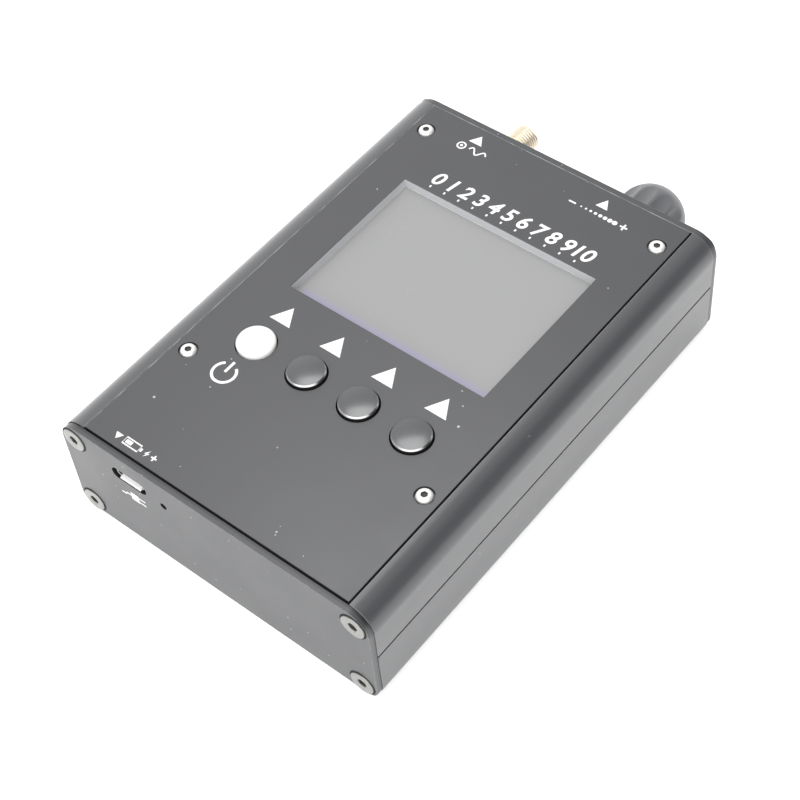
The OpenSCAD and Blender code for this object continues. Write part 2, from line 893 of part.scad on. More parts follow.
// Domed cap over a switch plunger, at key number i
module key_cap(i) {
    r = key_d / 2;
    rim_z = case_h + key_rim_h;
    dome_r = r - key_edge_r;
    sphere_r = (dome_r * dome_r + key_dome * key_dome) / (2 * key_dome);
    dome_a = asin(dome_r / sphere_r);
    crown = [for (k = [8:-1:0]) let (a = 90 - dome_a * k / 8)
        [sphere_r * cos(a), rim_z + key_dome - sphere_r + sphere_r * sin(a)]];
    edge = arc(r - key_edge_r, rim_z - key_edge_r, key_edge_r, 0, 75, 5);
    socket = plunger_w + 2 * thread_clear;
    translate([key_x(i), key_y, 0])
        difference() {
            rotate_extrude($fn = 64)
                polygon(concat([[0, key_bottom], [r, key_bottom]], edge, crown));
            slab(0, 0, key_bottom - 1, socket, socket, plunger_z - key_bottom + 1);
        }
}

// Square plunger of a key switch, at key number i
module key_plunger(i) {
    slab(key_x(i), key_y, plunger_bottom, plunger_w, plunger_w, plunger_z - plunger_bottom);
}

module power_key_cap() {
    color("#f2f2f0")
    key_cap(0);
}

module power_key_plunger() {
    color("#d9d3c0")
    key_plunger(0);
}

module left_key_cap() {
    color("#1b1b1d")
    key_cap(1);
}

module left_key_plunger() {
    color("#d9d3c0")
    key_plunger(1);
}

module middle_key_cap() {
    color("#1b1b1d")
    key_cap(2);
}

module middle_key_plunger() {
    color("#d9d3c0")
    key_plunger(2);
}

module right_key_cap() {
    color("#1b1b1d")
    key_cap(3);
}

module right_key_plunger() {
    color("#d9d3c0")
    key_plunger(3);
}

module switch_bases() {
    well = plunger_w + 2 * plunger_clear;
    base_h = switch_h - switch_cover_t;
    color("#222222")
    for (i = [0:key_count - 1])
        difference() {
            slab(key_x(i), key_y, board_top, switch_w, switch_w, base_h);
            slab(key_x(i), key_y, board_top + switch_floor, well, well, base_h);
        }
}

module switch_covers() {
    color("#bfc1c2")
    for (i = [0:key_count - 1])
        difference() {
            slab(key_x(i), key_y, board_top + switch_h - switch_cover_t,
                switch_w, switch_w, switch_cover_t);
            translate([key_x(i), key_y, board_top])
                cylinder(h = switch_h + 1, r = switch_mouth_r);
        }
}

module encoder_housing() {
    color("#8f9194")
    difference() {
        translate([knob_x - coder_w / 2, coder_y, knob_z - coder_low])
            cube([coder_w, coder_len, coder_low + knob_drop]);
        rod_y(knob_x, knob_z, coder_y - 1, coder_len + 2, shaft_r + shaft_clear);
    }
}

module encoder_rear_cover() {
    color("#2c2c2e")
    difference() {
        translate([knob_x - coder_w / 2, coder_y - rear_cover_t, knob_z - coder_low])
            cube([coder_w, rear_cover_t, coder_low + knob_drop]);
        rod_y(knob_x, knob_z, coder_y - rear_cover_t + rear_floor_t, rear_cover_t,
            push_pin_r + shaft_clear);
    }
}

module encoder_bushing() {
    color("#b9bbbd")
    difference() {
        rod_y(knob_x, knob_z, shell_y, bush_len, bush_r);
        rod_y(knob_x, knob_z, shell_y - 1, bush_len + 2, shaft_r + shaft_clear);
    }
}

module encoder_washer() {
    color("#c6c8ca")
    difference() {
        rod_y(knob_x, knob_z, plate_y, bush_washer_t, bush_washer_r);
        rod_y(knob_x, knob_z, plate_y - 1, bush_washer_t + 2, bush_r + small_clear);
    }
}

module encoder_nut() {
    nut_y = plate_y + bush_washer_t;
    color("#c6c8ca")
    difference() {
        rod_y(knob_x, knob_z, nut_y, bush_nut_t, bush_nut_hex / sqrt(3), 6);
        rod_y(knob_x, knob_z, nut_y - 1, bush_nut_t + 2, bush_r + thread_clear);
    }
}

module encoder_push_pin() {
    color("#d9d3c0")
    rod_y(knob_x, knob_z, pin_y, shaft_tail - push_gap - pin_y, push_pin_r);
}

// Shaft cross-section with its flat on the side away from the board
module shaft_section(r) {
    intersection() {
        circle(r = r);
        translate([-r - 1, -r + shaft_flat])
            square([2 * r + 2, 2 * r]);
    }
}

module encoder_shaft() {
    flat_y = knob_hollow_y - flat_gap;
    color("#c6c8ca")
    union() {
        rod_y(knob_x, knob_z, shaft_tail, flat_y - shaft_tail, shaft_r);
        translate([knob_x, shaft_tip, knob_z])
            rotate([90, 0, 0])
                linear_extrude(shaft_tip - flat_y + eps)
                    shaft_section(shaft_r);
    }
}

module tuning_knob() {
    r = knob_d / 2;
    len = knob_tip - knob_y;
    steps = 10;
    dome = [for (i = [0:steps]) let (a = 90 * i / steps)
        [r - knob_dome_w * (1 - cos(a)), len - knob_dome_len * (1 - sin(a))]];
    flute_ring = r + flute_r - flute_depth;
    color("#222325")
    translate([knob_x, knob_y, knob_z])
        rotate([-90, 0, 0])
            difference() {
                rotate_extrude($fn = 64)
                    polygon(concat([[0, 0], [r, 0]], dome, [[0, len]]));
                for (k = [0:flute_count - 1])
                    rotate(flute_turn + k * 360 / flute_count)
                        translate([flute_ring, 0, -1])
                            cylinder(h = len + 2, r = flute_r, $fn = 32);
                translate([0, 0, -1])
                    cylinder(h = knob_hollow_y - knob_y + 1, r = knob_hollow_r);
                mirror([0, 1, 0])
                    linear_extrude(shaft_tip + push_gap - knob_y)
                        shaft_section(shaft_r + thread_clear);
            }
}

module jack_body() {
    block_y = shell_y - jack_block_len;
    block_low = jack_block_w / 2;
    slot = 4 * jack_pin_r;
    color("#d9b866")
    difference() {
        union() {
            translate([jack_x - jack_block_w / 2, block_y, jack_z - block_low])
                cube([jack_block_w, jack_block_len, block_low + jack_drop]);
            rod_y(jack_x, jack_z, shell_y - 1, jack_free_y - shell_y + 1 + eps, jack_mesh_r);
            rod_y(jack_x, jack_z, jack_free_y, jack_tip - jack_free_y, jack_r);
        }
        rod_y(jack_x, jack_z, block_y + jack_wall, jack_tip, jack_core_r);
        rod_y(jack_x, jack_z, jack_tip - jack_mouth_len, jack_mouth_len + 1, jack_mouth_r);
        translate([jack_x - slot / 2, block_y - 1, jack_z - slot / 2])
            cube([slot, 1 + jack_wall + slot, jack_drop + slot]);
    }
}

module jack_insulator() {
    core_y = shell_y - jack_block_len + jack_core_set;
    core_len = jack_tip - jack_mouth_len - core_y;
    color("#f2efe8")
    difference() {
        rod_y(jack_x, jack_z, core_y, core_len, jack_core_r - thread_clear);
        rod_y(jack_x, jack_z, core_y - 1, core_len + 2, jack_pin_r + thread_clear);
    }
}

module jack_contact() {
    back_y = shell_y - jack_block_len + jack_contact_set;
    tip_y = jack_tip - jack_mouth_len;
    color("#e3c26e")
    difference() {
        union() {
            rod_y(jack_x, jack_z, back_y, tip_y - back_y, jack_pin_r);
            translate([jack_x, back_y + jack_pin_r + jack_contact_bend, jack_z])
                cylinder(h = jack_drop, r = jack_pin_r * 0.7, $fn = 24);
        }
        rod_y(jack_x, jack_z, tip_y - jack_socket_len, jack_socket_len + 1, jack_socket_r);
    }
}

module jack_washer() {
    color("#d8bb70")
    difference() {
        rod_y(jack_x, jack_z, plate_y, jack_washer_t, jack_washer_r);
        rod_y(jack_x, jack_z, plate_y - 1, jack_washer_t + 2, jack_r + small_clear);
    }
}

module jack_nut() {
    nut_y = plate_y + jack_washer_t;
    color("#d8bb70")
    difference() {
        rod_y(jack_x, jack_z, nut_y, jack_nut_t, jack_nut_hex / sqrt(3), 6);
        rod_y(jack_x, jack_z, nut_y - 1, jack_nut_t + 2, jack_mesh_r + thread_clear);
    }
}

// Front outline of the charging socket, wide side up, drawn inside by inset
module usb_outline(inset) {
    half = usb_w / 2 - inset;
    high = usb_h - inset;
    polygon([[-half, high], [half, high], [half, inset + usb_cut], [half - usb_cut, inset],
        [-half + usb_cut, inset], [-half, inset + usb_cut]]);
}

module usb_shell() {
    color("#c9cbcc")
    translate([usb_x, 0, board_top])
        along_y(usb_y, usb_len)
            difference() {
                usb_outline(0);
                usb_outline(usb_sheet);
            }
}

module usb_tongue() {
    tongue_len = usb_len - usb_stop_t - usb_tongue_set;
    color("#1a1a1a")
    translate([usb_x, 0, board_top])
        union() {
            along_y(usb_y + usb_len - usb_stop_t, usb_stop_t)
                usb_outline(usb_sheet);
            slab(0, usb_y + usb_len - usb_stop_t - tongue_len / 2, usb_h / 2,
                usb_tongue_w, tongue_len + eps, usb_tongue_t);
        }
}

module charge_light() {
    color("#d8e6d0")
    slab(led_x, -board_len / 2 + led_len / 2, board_top, led_w, led_len, led_h);
}

module battery_cell() {
    edge = cell_edge_r;
    color("#b9bdc2")
    along_y(cell_y - cell_len / 2, cell_len)
        union() {
            for (sx = [-1, 1], sz = [0, 1])
                translate([sx * (cell_w / 2 - edge), cell_z + edge + sz * (cell_t - 2 * edge)])
                    circle(r = edge);
            translate([-cell_w / 2 + edge, cell_z])
                square([cell_w - 2 * edge, cell_t]);
            translate([-cell_w / 2, cell_z + edge])
                square([cell_w, cell_t - 2 * edge]);
        }
}

module battery_pad() {
    color("#ece8dc")
    slab(0, cell_y, pad_z, cell_w - 2 * pad_margin, cell_len - 2 * pad_margin, pad_t);
}

module battery_guard_board() {
    color("#c79a3a")
    slab(0, cell_end + guard_t / 2, lead_z - guard_h / 2, guard_w, guard_t, guard_h);
}

// One battery lead at x: out of the guard board, bent upward into the plug
module battery_lead(x) {
    bend_y = guard_y + lead_run;
    translate([x, 0, 0]) {
        rod_y(0, lead_z, guard_y, lead_run, lead_r, 24);
        translate([0, bend_y, lead_z + lead_bend])
            rotate([90, 0, 90])
                rotate([0, 0, -90])
                    rotate_extrude(angle = 90, $fn = 48)
                        translate([lead_bend, 0])
                            circle(r = lead_r, $fn = 24);
        translate([0, plug_y, lead_z + lead_bend])
            cylinder(h = plug_z - lead_z - lead_bend, r = lead_r, $fn = 24);
    }
}

module battery_lead_red() {
    color("#b3261e")
    battery_lead(-lead_pitch / 2);
}

module battery_lead_black() {
    color("#141414")
    battery_lead(lead_pitch / 2);
}

module battery_plug() {
    color("#f0ece2")
    slab(0, plug_y, plug_z, plug_w, plug_d, plug_h);
}

module battery_header() {
    inner_w = plug_w + 2 * header_clear;
    inner_d = plug_d + 2 * header_clear;
    color("#f4f0e6")
    difference() {
        slab(0, plug_y, board_z - header_h, inner_w + 2 * header_wall,
            inner_d + 2 * header_wall, header_h);
        slab(0, plug_y, board_z - header_h - 1, inner_w, inner_d, header_h + 1 - header_floor);
    }
}

module shield_can() {
    inner_w = can_w - 2 * can_sheet;
    inner_d = can_d - 2 * can_sheet;
    color("#c2c4c6")
    difference() {
        slab(can_x, can_y, board_z - can_h, can_w, can_d, can_h);
        slab(can_x, can_y, board_z - can_h + can_sheet, inner_w, inner_d, can_h);
    }
}

module radio_chip() {
    color("#1c1c1c")
    slab(can_x, can_y, board_z - radio_h, radio_w, radio_w, radio_h);
}

module microcontroller() {
    color("#1c1c1c")
    slab(brain_x, brain_y, board_z - brain_h, brain_w, brain_w, brain_h);
}

module charger_chip() {
    color("#1c1c1c")
    slab(usb_x, charger_y, board_z - charger_h, charger_w, charger_d, charger_h);
}

module power_inductor() {
    coil_x = usb_x + charger_w / 2 + coil_gap + coil_w / 2;
    color("#4a4a4c")
    slab(coil_x, charger_y, board_z - coil_h, coil_w, coil_w, coil_h);
}

module crystal_can() {
    crystal_x = brain_x + (brain_w + crystal_w) / 2 + crystal_gap;
    color("#c8caca")
    slab(crystal_x, brain_y, board_z - crystal_h, crystal_w, crystal_d, crystal_h);
}

// One row of small chips, centred on x and y
module chip_row(x, y) {
    for (k = [0:chip_count - 1])
        slab(x + (k - (chip_count - 1) / 2) * chip_pitch, y, board_z - chip_h,
            chip_w, chip_d, chip_h);
}

// Rows of small capacitors and resistors beside the chips
module small_chips() {
    brain_row = (brain_w + chip_d) / 2 + chip_gap;
    color("#b59a6a") {
        chip_row(brain_x, brain_y - brain_row);
        chip_row(brain_x, brain_y + brain_row);
        chip_row(usb_x, charger_y + (charger_d + chip_d) / 2 + chip_gap);
    }
}

lower_shell();
upper_shell();
face_plate();
face_screws();
usb_end_plate();
jack_end_plate();
end_screws();
main_board();
board_standoffs();
board_screws();
display_gasket();
display_glass();
display_backlight();
display_carrier();
display_tail();
tail_connector();
power_key_cap();
power_key_plunger();
left_key_cap();
left_key_plunger();
middle_key_cap();
middle_key_plunger();
right_key_cap();
right_key_plunger();
switch_bases();
switch_covers();
encoder_housing();
encoder_rear_cover();
encoder_bushing();
encoder_washer();
encoder_nut();
encoder_push_pin();
encoder_shaft();
tuning_knob();
jack_body();
jack_insulator();
jack_contact();
jack_washer();
jack_nut();
usb_shell();
usb_tongue();
charge_light();
battery_cell();
battery_pad();
battery_guard_board();
battery_lead_red();
battery_lead_black();
battery_plug();
battery_header();
shield_can();
microcontroller();
radio_chip();
charger_chip();
power_inductor();
crystal_can();
small_chips();
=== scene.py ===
import json
import math

import bmesh
import bpy
from mathutils import Matrix, Vector

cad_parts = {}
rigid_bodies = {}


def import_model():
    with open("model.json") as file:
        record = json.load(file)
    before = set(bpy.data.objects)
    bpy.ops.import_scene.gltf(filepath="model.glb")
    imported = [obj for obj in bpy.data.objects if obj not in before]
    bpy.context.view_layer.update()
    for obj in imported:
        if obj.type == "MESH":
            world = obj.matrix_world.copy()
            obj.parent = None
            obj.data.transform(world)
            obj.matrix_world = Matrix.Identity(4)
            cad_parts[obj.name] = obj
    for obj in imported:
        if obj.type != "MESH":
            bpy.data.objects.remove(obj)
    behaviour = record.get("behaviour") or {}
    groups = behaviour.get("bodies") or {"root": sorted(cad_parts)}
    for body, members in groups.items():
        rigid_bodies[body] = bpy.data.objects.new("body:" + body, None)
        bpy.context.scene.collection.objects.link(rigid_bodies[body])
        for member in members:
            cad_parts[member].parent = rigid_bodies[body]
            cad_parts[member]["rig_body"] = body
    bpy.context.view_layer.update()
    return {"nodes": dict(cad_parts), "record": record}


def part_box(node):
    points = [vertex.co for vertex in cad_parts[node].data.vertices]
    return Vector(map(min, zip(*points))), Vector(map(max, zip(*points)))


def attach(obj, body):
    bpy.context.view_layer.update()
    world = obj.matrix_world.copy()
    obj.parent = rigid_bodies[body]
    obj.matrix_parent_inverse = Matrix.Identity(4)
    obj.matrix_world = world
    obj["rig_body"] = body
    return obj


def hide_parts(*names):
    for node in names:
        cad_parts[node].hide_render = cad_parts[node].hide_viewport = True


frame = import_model()
solids = frame["nodes"]

# ---- Case shells ----
# Two aluminium extrusions, a tray below and a lid with side rails above, which meet at a seam
# half way up the sides. They are sawn to length, etched matt and anodised black.


def colour(shade):
    """An sRGB hex value as linear red, green, blue and alpha."""
    parts = [int(shade[i:i + 2], 16) / 255 for i in (1, 3, 5)]
    return tuple(c / 12.92 if c <= 0.04045 else ((c + 0.055) / 1.055) ** 2.4 for c in parts) + (1,)


def add(finish, kind, inputs=None, **settings):
    """One node of a finish: its settings, then its inputs, each a value or the socket that feeds it."""
    made = finish.node_tree.nodes.new("ShaderNode" + kind)
    for key, value in settings.items():
        setattr(made, key, value)
    for key, value in (inputs or {}).items():
        if isinstance(value, bpy.types.NodeSocket):
            finish.node_tree.links.new(value, made.inputs[key])
        else:
            made.inputs[key].default_value = value
    return made


def surface(name, shade, **values):
    """A new finish of one colour, with the constant values of its surface."""
    finish = bpy.data.materials.new(name)
    finish.use_nodes = True
    skin = finish.node_tree.nodes["Principled BSDF"]
    skin.inputs["Base Color"].default_value = colour(shade)
    for key, value in values.items():
        skin.inputs[key.replace("_", " ")].default_value = value
    return finish


def skin_input(finish, name):
    return finish.node_tree.nodes["Principled BSDF"].inputs[name]


def lay_over(finish, mask, shade):
    """Lays a shade over the colour so far, where the mask is 1."""
    base = skin_input(finish, "Base Color")
    under = base.links[0].from_socket if base.is_linked else tuple(base.default_value)
    mixed = add(finish, "Mix", {0: mask, 6: under, 7: colour(shade)}, data_type="RGBA")
    finish.node_tree.links.new(mixed.outputs[2], base)


def relief(finish, grain, depth, uneven=0.06, run=(1, 1, 1)):
    """Fine relief in mm, drawn out along run, and a roughness that drifts up and down by uneven."""
    drift_length = 12
    place = add(finish, "TexCoord").outputs["Object"]
    fine = add(finish, "Mapping", {0: place, "Scale": [1000 / grain / r for r in run]})
    wide = add(finish, "Mapping", {0: place, "Scale": [1000 / drift_length / r for r in run]})
    grains = add(finish, "TexNoise", {"Vector": fine.outputs[0], "Scale": 1.0, "Detail": 3.0})
    drift = add(finish, "TexNoise", {"Vector": wide.outputs[0], "Scale": 1.0, "Detail": 2.0})
    both = add(finish, "Mix", {0: 0.5, 2: grains.outputs[0], 3: drift.outputs[0]})
    rough = skin_input(finish, "Roughness")
    level = rough.default_value
    spread = add(finish, "MapRange", {
        "Value": both.outputs[0], "From Min": 0.3, "From Max": 0.7,
        "To Min": max(level - uneven, 0.02), "To Max": level + uneven})
    finish.node_tree.links.new(spread.outputs[0], rough)
    bump = add(finish, "Bump", {"Height": grains.outputs[0], "Distance": depth / 1000})
    finish.node_tree.links.new(bump.outputs[0], skin_input(finish, "Normal"))


def rub(finish, reach, shade, most=0.5):
    """Rubs the edges paler: within reach mm of an edge the face turns, and patches of it are worn."""
    patch_length = 1.5
    turned = add(finish, "Bevel", {"Radius": reach / 1000}, samples=4)
    face = add(finish, "NewGeometry")
    turn = add(finish, "VectorMath", {0: turned.outputs[0], 1: face.outputs["Normal"]},
               operation="DOT_PRODUCT")
    place = add(finish, "TexCoord").outputs["Object"]
    coarse = add(finish, "Mapping", {0: place, "Scale": [1000 / patch_length] * 3})
    patch = add(finish, "TexNoise", {"Vector": coarse.outputs[0], "Scale": 1.0, "Detail": 4.0})
    edge = add(finish, "MapRange", {
        "Value": turn.outputs["Value"], "From Min": 0.995, "From Max": 0.85,
        "To Min": 0.0, "To Max": most})
    worn = add(finish, "Math", {0: edge.outputs[0], 1: patch.outputs[0]}, operation="MULTIPLY")
    lay_over(finish, worn.outputs[0], shade)


def dust(finish, spacing, size, shade, share=0.35, upright=1):
    """Specks of pale dust, size mm across, in a share of the cells of spacing mm.

    With upright 0 a cell reaches through all heights, for a flat face."""
    place = add(finish, "TexCoord").outputs["Object"]
    density = 1000 / spacing
    cells = add(finish, "Mapping", {0: place, "Scale": (density, density, upright * density)})
    speck = add(finish, "TexVoronoi", {"Vector": cells.outputs[0], "Scale": 1.0})
    lot = add(finish, "SeparateColor", {0: speck.outputs["Color"]})
    # The specks differ in size, from nothing to the full one.
    reach = add(finish, "Math", {0: lot.outputs[1], 1: size / 2 / spacing}, operation="MULTIPLY")
    near = add(finish, "Math", {0: speck.outputs["Distance"], 1: reach.outputs[0]}, operation="LESS_THAN")
    some = add(finish, "Math", {0: lot.outputs[0], 1: share}, operation="LESS_THAN")
    both = add(finish, "Math", {0: near.outputs[0], 1: some.outputs[0]}, operation="MULTIPLY")
    lay_over(finish, both.outputs[0], shade)


def shown(name, mesh, finish, body, sharp=35):
    """Puts a mesh in the scene as a piece of that body, smooth except over sharp edges."""
    mesh.name = name
    mesh.polygons.foreach_set("use_smooth", [True] * len(mesh.polygons))
    mesh.set_sharp_from_angle(angle=math.radians(sharp))
    mesh.materials.clear()
    mesh.materials.append(finish)
    piece = bpy.data.objects.new(name, mesh)
    bpy.context.scene.collection.objects.link(piece)
    even = piece.modifiers.new("even_normals", "WEIGHTED_NORMAL")
    even.keep_sharp = True
    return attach(piece, body)


def joined_form(node):
    """The triangles of a CAD node, joined where their corners meet."""
    same_point = 2e-6
    form = bmesh.new()
    form.from_mesh(solids[node].data)
    bmesh.ops.remove_doubles(form, verts=form.verts, dist=same_point)
    return form


def solid_form(node):
    """The solid of a CAD node, with its flat faces joined up again."""
    still_flat = math.radians(0.5)
    form = joined_form(node)
    bmesh.ops.dissolve_limit(form, angle_limit=still_flat, verts=form.verts, edges=form.edges)
    return form


def ease(form, edge, outline=False):
    """Breaks the outer edges of a form by edge mm; outline leaves out the edges of its holes."""
    least_angle = math.radians(40)
    sharp = [e for e in form.edges if e.is_manifold and e.is_convex and e.calc_face_angle() > least_angle]
    if outline:
        # Both faces of an outline edge have the whole form behind them.
        flush = 1e-5
        spots = [v.co.copy() for v in form.verts]
        sharp = [e for e in sharp if all(
            max((spot - e.verts[0].co).dot(face.normal) for spot in spots) < flush
            for face in e.link_faces)]
    bmesh.ops.bevel(form, geom=sharp, offset=edge / 1000, segments=2, profile=0.5, affect="EDGES",
                    clamp_overlap=False)


def mesh_of(form, name):
    """Turns a form into a mesh, its faces outwards and without the normals of the CAD."""
    bmesh.ops.recalc_face_normals(form, faces=form.faces)
    mesh = bpy.data.meshes.new(name)
    form.to_mesh(mesh)
    form.free()
    if "custom_normal" in mesh.attributes:
        mesh.attributes.remove(mesh.attributes["custom_normal"])
    return mesh


def piece_of(form, name, finish, slot, *nodes, sharp=35):
    """Makes a piece of a form and puts it in place of its CAD nodes."""
    piece = shown(name, mesh_of(form, name), finish, solids[nodes[0]]["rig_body"], sharp)
    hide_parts(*nodes)
    return piece


def eased(node, edge, finish, slot, outline=False):
    """The solid of a CAD node with its edges broken."""
    form = solid_form(node)
    ease(form, edge, outline)
    return piece_of(form, node + "_eased", finish, slot, node)


# Black anodised aluminium: a dyed oxide over etched metal, a satin dark grey, paler at a low angle.
shell_anodised = surface("anodised_aluminium_extruded", "#48494c", Roughness=0.38, IOR=1.62,
                         Coat_Weight=0.6, Coat_Roughness=0.3, Sheen_Weight=0.45, Sheen_Roughness=0.35)
# The die leaves lines along the extrusion. The etch leaves a grain of some 0.1 mm, which is drawn
# here at 0.3 mm to show.
relief(shell_anodised, 0.3, 0.006, run=(1, 18, 1))
rub(shell_anodised, 0.25, "#c2c4c6", 0.8)
dust(shell_anodised, 2.5, 0.4, "#a6a7a9", 0.4)
CASE_EDGE = 0.12
eased("lower_shell", CASE_EDGE, shell_anodised, "black_anodised")
upper_shell = eased("upper_shell", CASE_EDGE, shell_anodised, "black_anodised")

# ---- Battery, its leads and plug ----
# A flat lithium pouch cell on an adhesive foam pad, with a small guard board across its end.
# Two silicone leads run to a white two-way plug in a header under the main board.


def all_eased(names, edge, finish, slot):
    """Breaks the edges of several nodes of one material."""
    for name in names:
        eased(name, edge, finish, slot)


# Aluminium laminate: foil under clear nylon, soft silver with shallow wrinkles.
cell_laminate = surface("aluminium_laminate_foil", "#b4b8bc", Metallic=0.7, Roughness=0.35)
relief(cell_laminate, 5, 0.25, run=(1, 2.5, 1))
eased("battery_cell", 0.3, cell_laminate, "cell_pouch")

# Closed-cell foam tape: dull cream, with bubbles of about 0.4 mm.
pad_foam = surface("polyethylene_foam_tape", "#e4dfd0", Roughness=0.9)
relief(pad_foam, 0.4, 0.08)
eased("battery_pad", 0.15, pad_foam, "foam_pad")

# Polyimide tape over the guard board: amber and glossy, with soft creases.
guard_tape = surface("polyimide_tape_wrapped", "#c08a34", Roughness=0.3, Coat_Weight=0.5)
relief(guard_tape, 1.2, 0.05)
eased("battery_guard_board", 0.15, guard_tape, "guard_board")


def lead_silicone(name, shade):
    """Extruded silicone insulation: satin, faintly wavy along the wire, with a dusty bloom."""
    finish = surface(name, shade, Roughness=0.5, Coat_Weight=0.1)
    relief(finish, 0.6, 0.02)
    rub(finish, 0.2, "#cfc8c4", 0.3)
    return finish


for node, shade in (("battery_lead_red", "#b0201a"), ("battery_lead_black", "#17181a")):
    silicone = lead_silicone(node.replace("battery_lead", "silicone_extruded"), shade)
    solids[node].material_slots[0].material = silicone

# Moulded nylon: milky white and slightly waxy, with fine tool marks.
plug_nylon = surface("nylon_moulded", "#ece8dc", Roughness=0.45, Subsurface_Weight=0.15,
                     Subsurface_Scale=0.001)
relief(plug_nylon, 0.5, 0.01)
rub(plug_nylon, 0.2, "#ffffff", 0.3)
all_eased(["battery_plug", "battery_header"], 0.15, plug_nylon, "plug_white")

# ---- Main board ----
# A two-layer glass-epoxy board under the display, held to the shell's deck by four brass
# standoffs and screws. Its chips, shield can and crystal are soldered to the underside.

# Solder mask over copper: dark green and glossy, with tracks that stand up and look lighter.
board_mask = surface("solder_mask_on_glass_epoxy", "#14482c", Roughness=0.3, Coat_Weight=0.4)
relief(board_mask, 0.5, 0.01)
board_place = add(board_mask, "TexCoord").outputs["Object"]
# The tracks run both ways, in rows, and each row is broken into runs that are set off from the next.
TRACK_W, TRACK_ROW, TRACK_RUN = 0.4, 2.0, 9.0
for quarter in (0, math.pi / 2):
    track_place = add(board_mask, "Mapping", {0: board_place, "Scale": (1000, 1000, 1000),
                                              "Rotation": (0, 0, quarter)})
    track = add(board_mask, "TexBrick", {
        "Vector": track_place.outputs[0], "Color1": (0, 0, 0, 1), "Color2": (0.3, 0.3, 0.3, 1),
        "Mortar": (1, 1, 1, 1), "Scale": 1.0, "Mortar Size": TRACK_W / 2, "Mortar Smooth": 0.1,
        "Brick Width": TRACK_RUN, "Row Height": TRACK_ROW}, offset=0.37)
    half = add(board_mask, "Math", {0: track.outputs["Color"], 1: 0.45}, operation="MULTIPLY")
    lay_over(board_mask, half.outputs[0], "#2f7a4c")
eased("main_board", 0.1, board_mask, "circuit_board")


def plated(name, shade, rough, scratch=0.5, run=(1, 1, 1), **values):
    """Plated or polished metal: bright, with hairline scratches and a slightly duller drift."""
    finish = surface(name, shade, Metallic=1.0, Roughness=rough, **values)
    relief(finish, scratch, 0.004, 0.08, run)
    return finish


def round_section(radius, angle, height):
    return radius


def hex_section(radius, angle, height):
    """Six flats, the radius being half the distance across them."""
    return radius / math.cos(angle % (math.pi / 3) - math.pi / 6)


def square_section(radius, angle, height):
    return radius / max(abs(math.cos(angle)), abs(math.sin(angle)))


def turn(form, rings, place=Matrix(), steps=48, ring_closed=False):
    """Adds a turned form: rings of (radius, height, section) in mm, from one end to the other.

    A closed one has a bore: its last ring is joined to its first."""
    loops = []
    for radius, height, *section in rings:
        section = section[0] if section else round_section
        angles = [2 * math.pi * k / steps for k in range(steps)] if radius else [0]
        loops.append([form.verts.new(place @ Vector((
            section(radius, a, height) * math.cos(a), section(radius, a, height) * math.sin(a),
            height)) / 1000) for a in angles])
    pairs = list(zip(loops, loops[1:] + loops[:1] if ring_closed else loops[1:]))
    for low, high in pairs:
        for k in range(steps):
            corners = [low[k % len(low)], low[(k + 1) % len(low)],
                       high[(k + 1) % len(high)], high[k % len(high)]]
            corners = [c for i, c in enumerate(corners) if c not in corners[:i]]
            if len(corners) > 2:
                form.faces.new(corners)
    if not ring_closed:
        for loop in (loops[0], loops[-1]):
            if len(loop) > 1:
                form.faces.new(loop)


def at(x, y, z, turned=Matrix()):
    return Matrix.Translation((x, y, z)) @ turned


def box_mm(node):
    """The lowest and the highest corner of a CAD node, in mm."""
    return [[round(1000 * c, 3) for c in corner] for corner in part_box(node)]


def ends_mm(node, axis):
    """Where a CAD node starts and ends along an axis, in mm."""
    return [corner[axis] for corner in box_mm(node)]


# Free-turned brass: yellow, with turning marks round it.
standoff_brass = plated("brass_turned", "#c9a455", 0.3, 0.3, (1, 1, 0.2))
STANDOFF_R, STANDOFF_BORE, STANDOFF_EDGE = 2.0, 1.05, 0.2
(left, near, board_top), (right, far, deck) = box_mm("board_standoffs")
corner_r = hex_section(STANDOFF_R, 0, 0)
screw_places = [(round(x, 3), round(y, 3)) for x in (left + corner_r, right - corner_r)
                for y in (near + STANDOFF_R, far - STANDOFF_R)]
standoff_h = round(deck - board_top, 3)
standoffs = bmesh.new()
for x, y in screw_places:
    turn(standoffs, [(STANDOFF_R - STANDOFF_EDGE, 0, hex_section),
                     (STANDOFF_R, STANDOFF_EDGE, hex_section),
                     (STANDOFF_R, standoff_h - STANDOFF_EDGE, hex_section),
                     (STANDOFF_R - STANDOFF_EDGE, standoff_h, hex_section),
                     (STANDOFF_BORE, standoff_h), (STANDOFF_BORE, 0)], at(x, y, board_top), 48, True)
piece_of(standoffs, "board_standoffs_turned", standoff_brass, "standoff_brass", "board_standoffs")

# Stainless steel, cold headed and tumbled: bright silver with soft highlights.
screw_steel = plated("stainless_steel_headed", "#d9d8d4", 0.22, 0.25)
rub(screw_steel, 0.1, "#ffffff", 0.3)
SHANK_R, SHANK_POINT, HEAD_R, BOARD_SCREW_TIP = 1.0, 0.25, 1.75, 2.95
board_bottom = box_mm("main_board")[0][2]
board_screws = bmesh.new()
for x, y in screw_places:
    turn(board_screws, [(0, BOARD_SCREW_TIP), (SHANK_R - SHANK_POINT, BOARD_SCREW_TIP),
                        (SHANK_R, BOARD_SCREW_TIP - SHANK_POINT), (SHANK_R, 0), (HEAD_R, 0),
                        (HEAD_R, -0.9), (1.5, -1.15), (1.3, -1.2), (0.9, -1.2),
                        (0.7, -1.1, hex_section), (0.7, -0.6, hex_section), (0, -0.5)],
         at(x, y, board_bottom))
piece_of(board_screws, "board_screws_headed", screw_steel, "screw_steel", "board_screws")


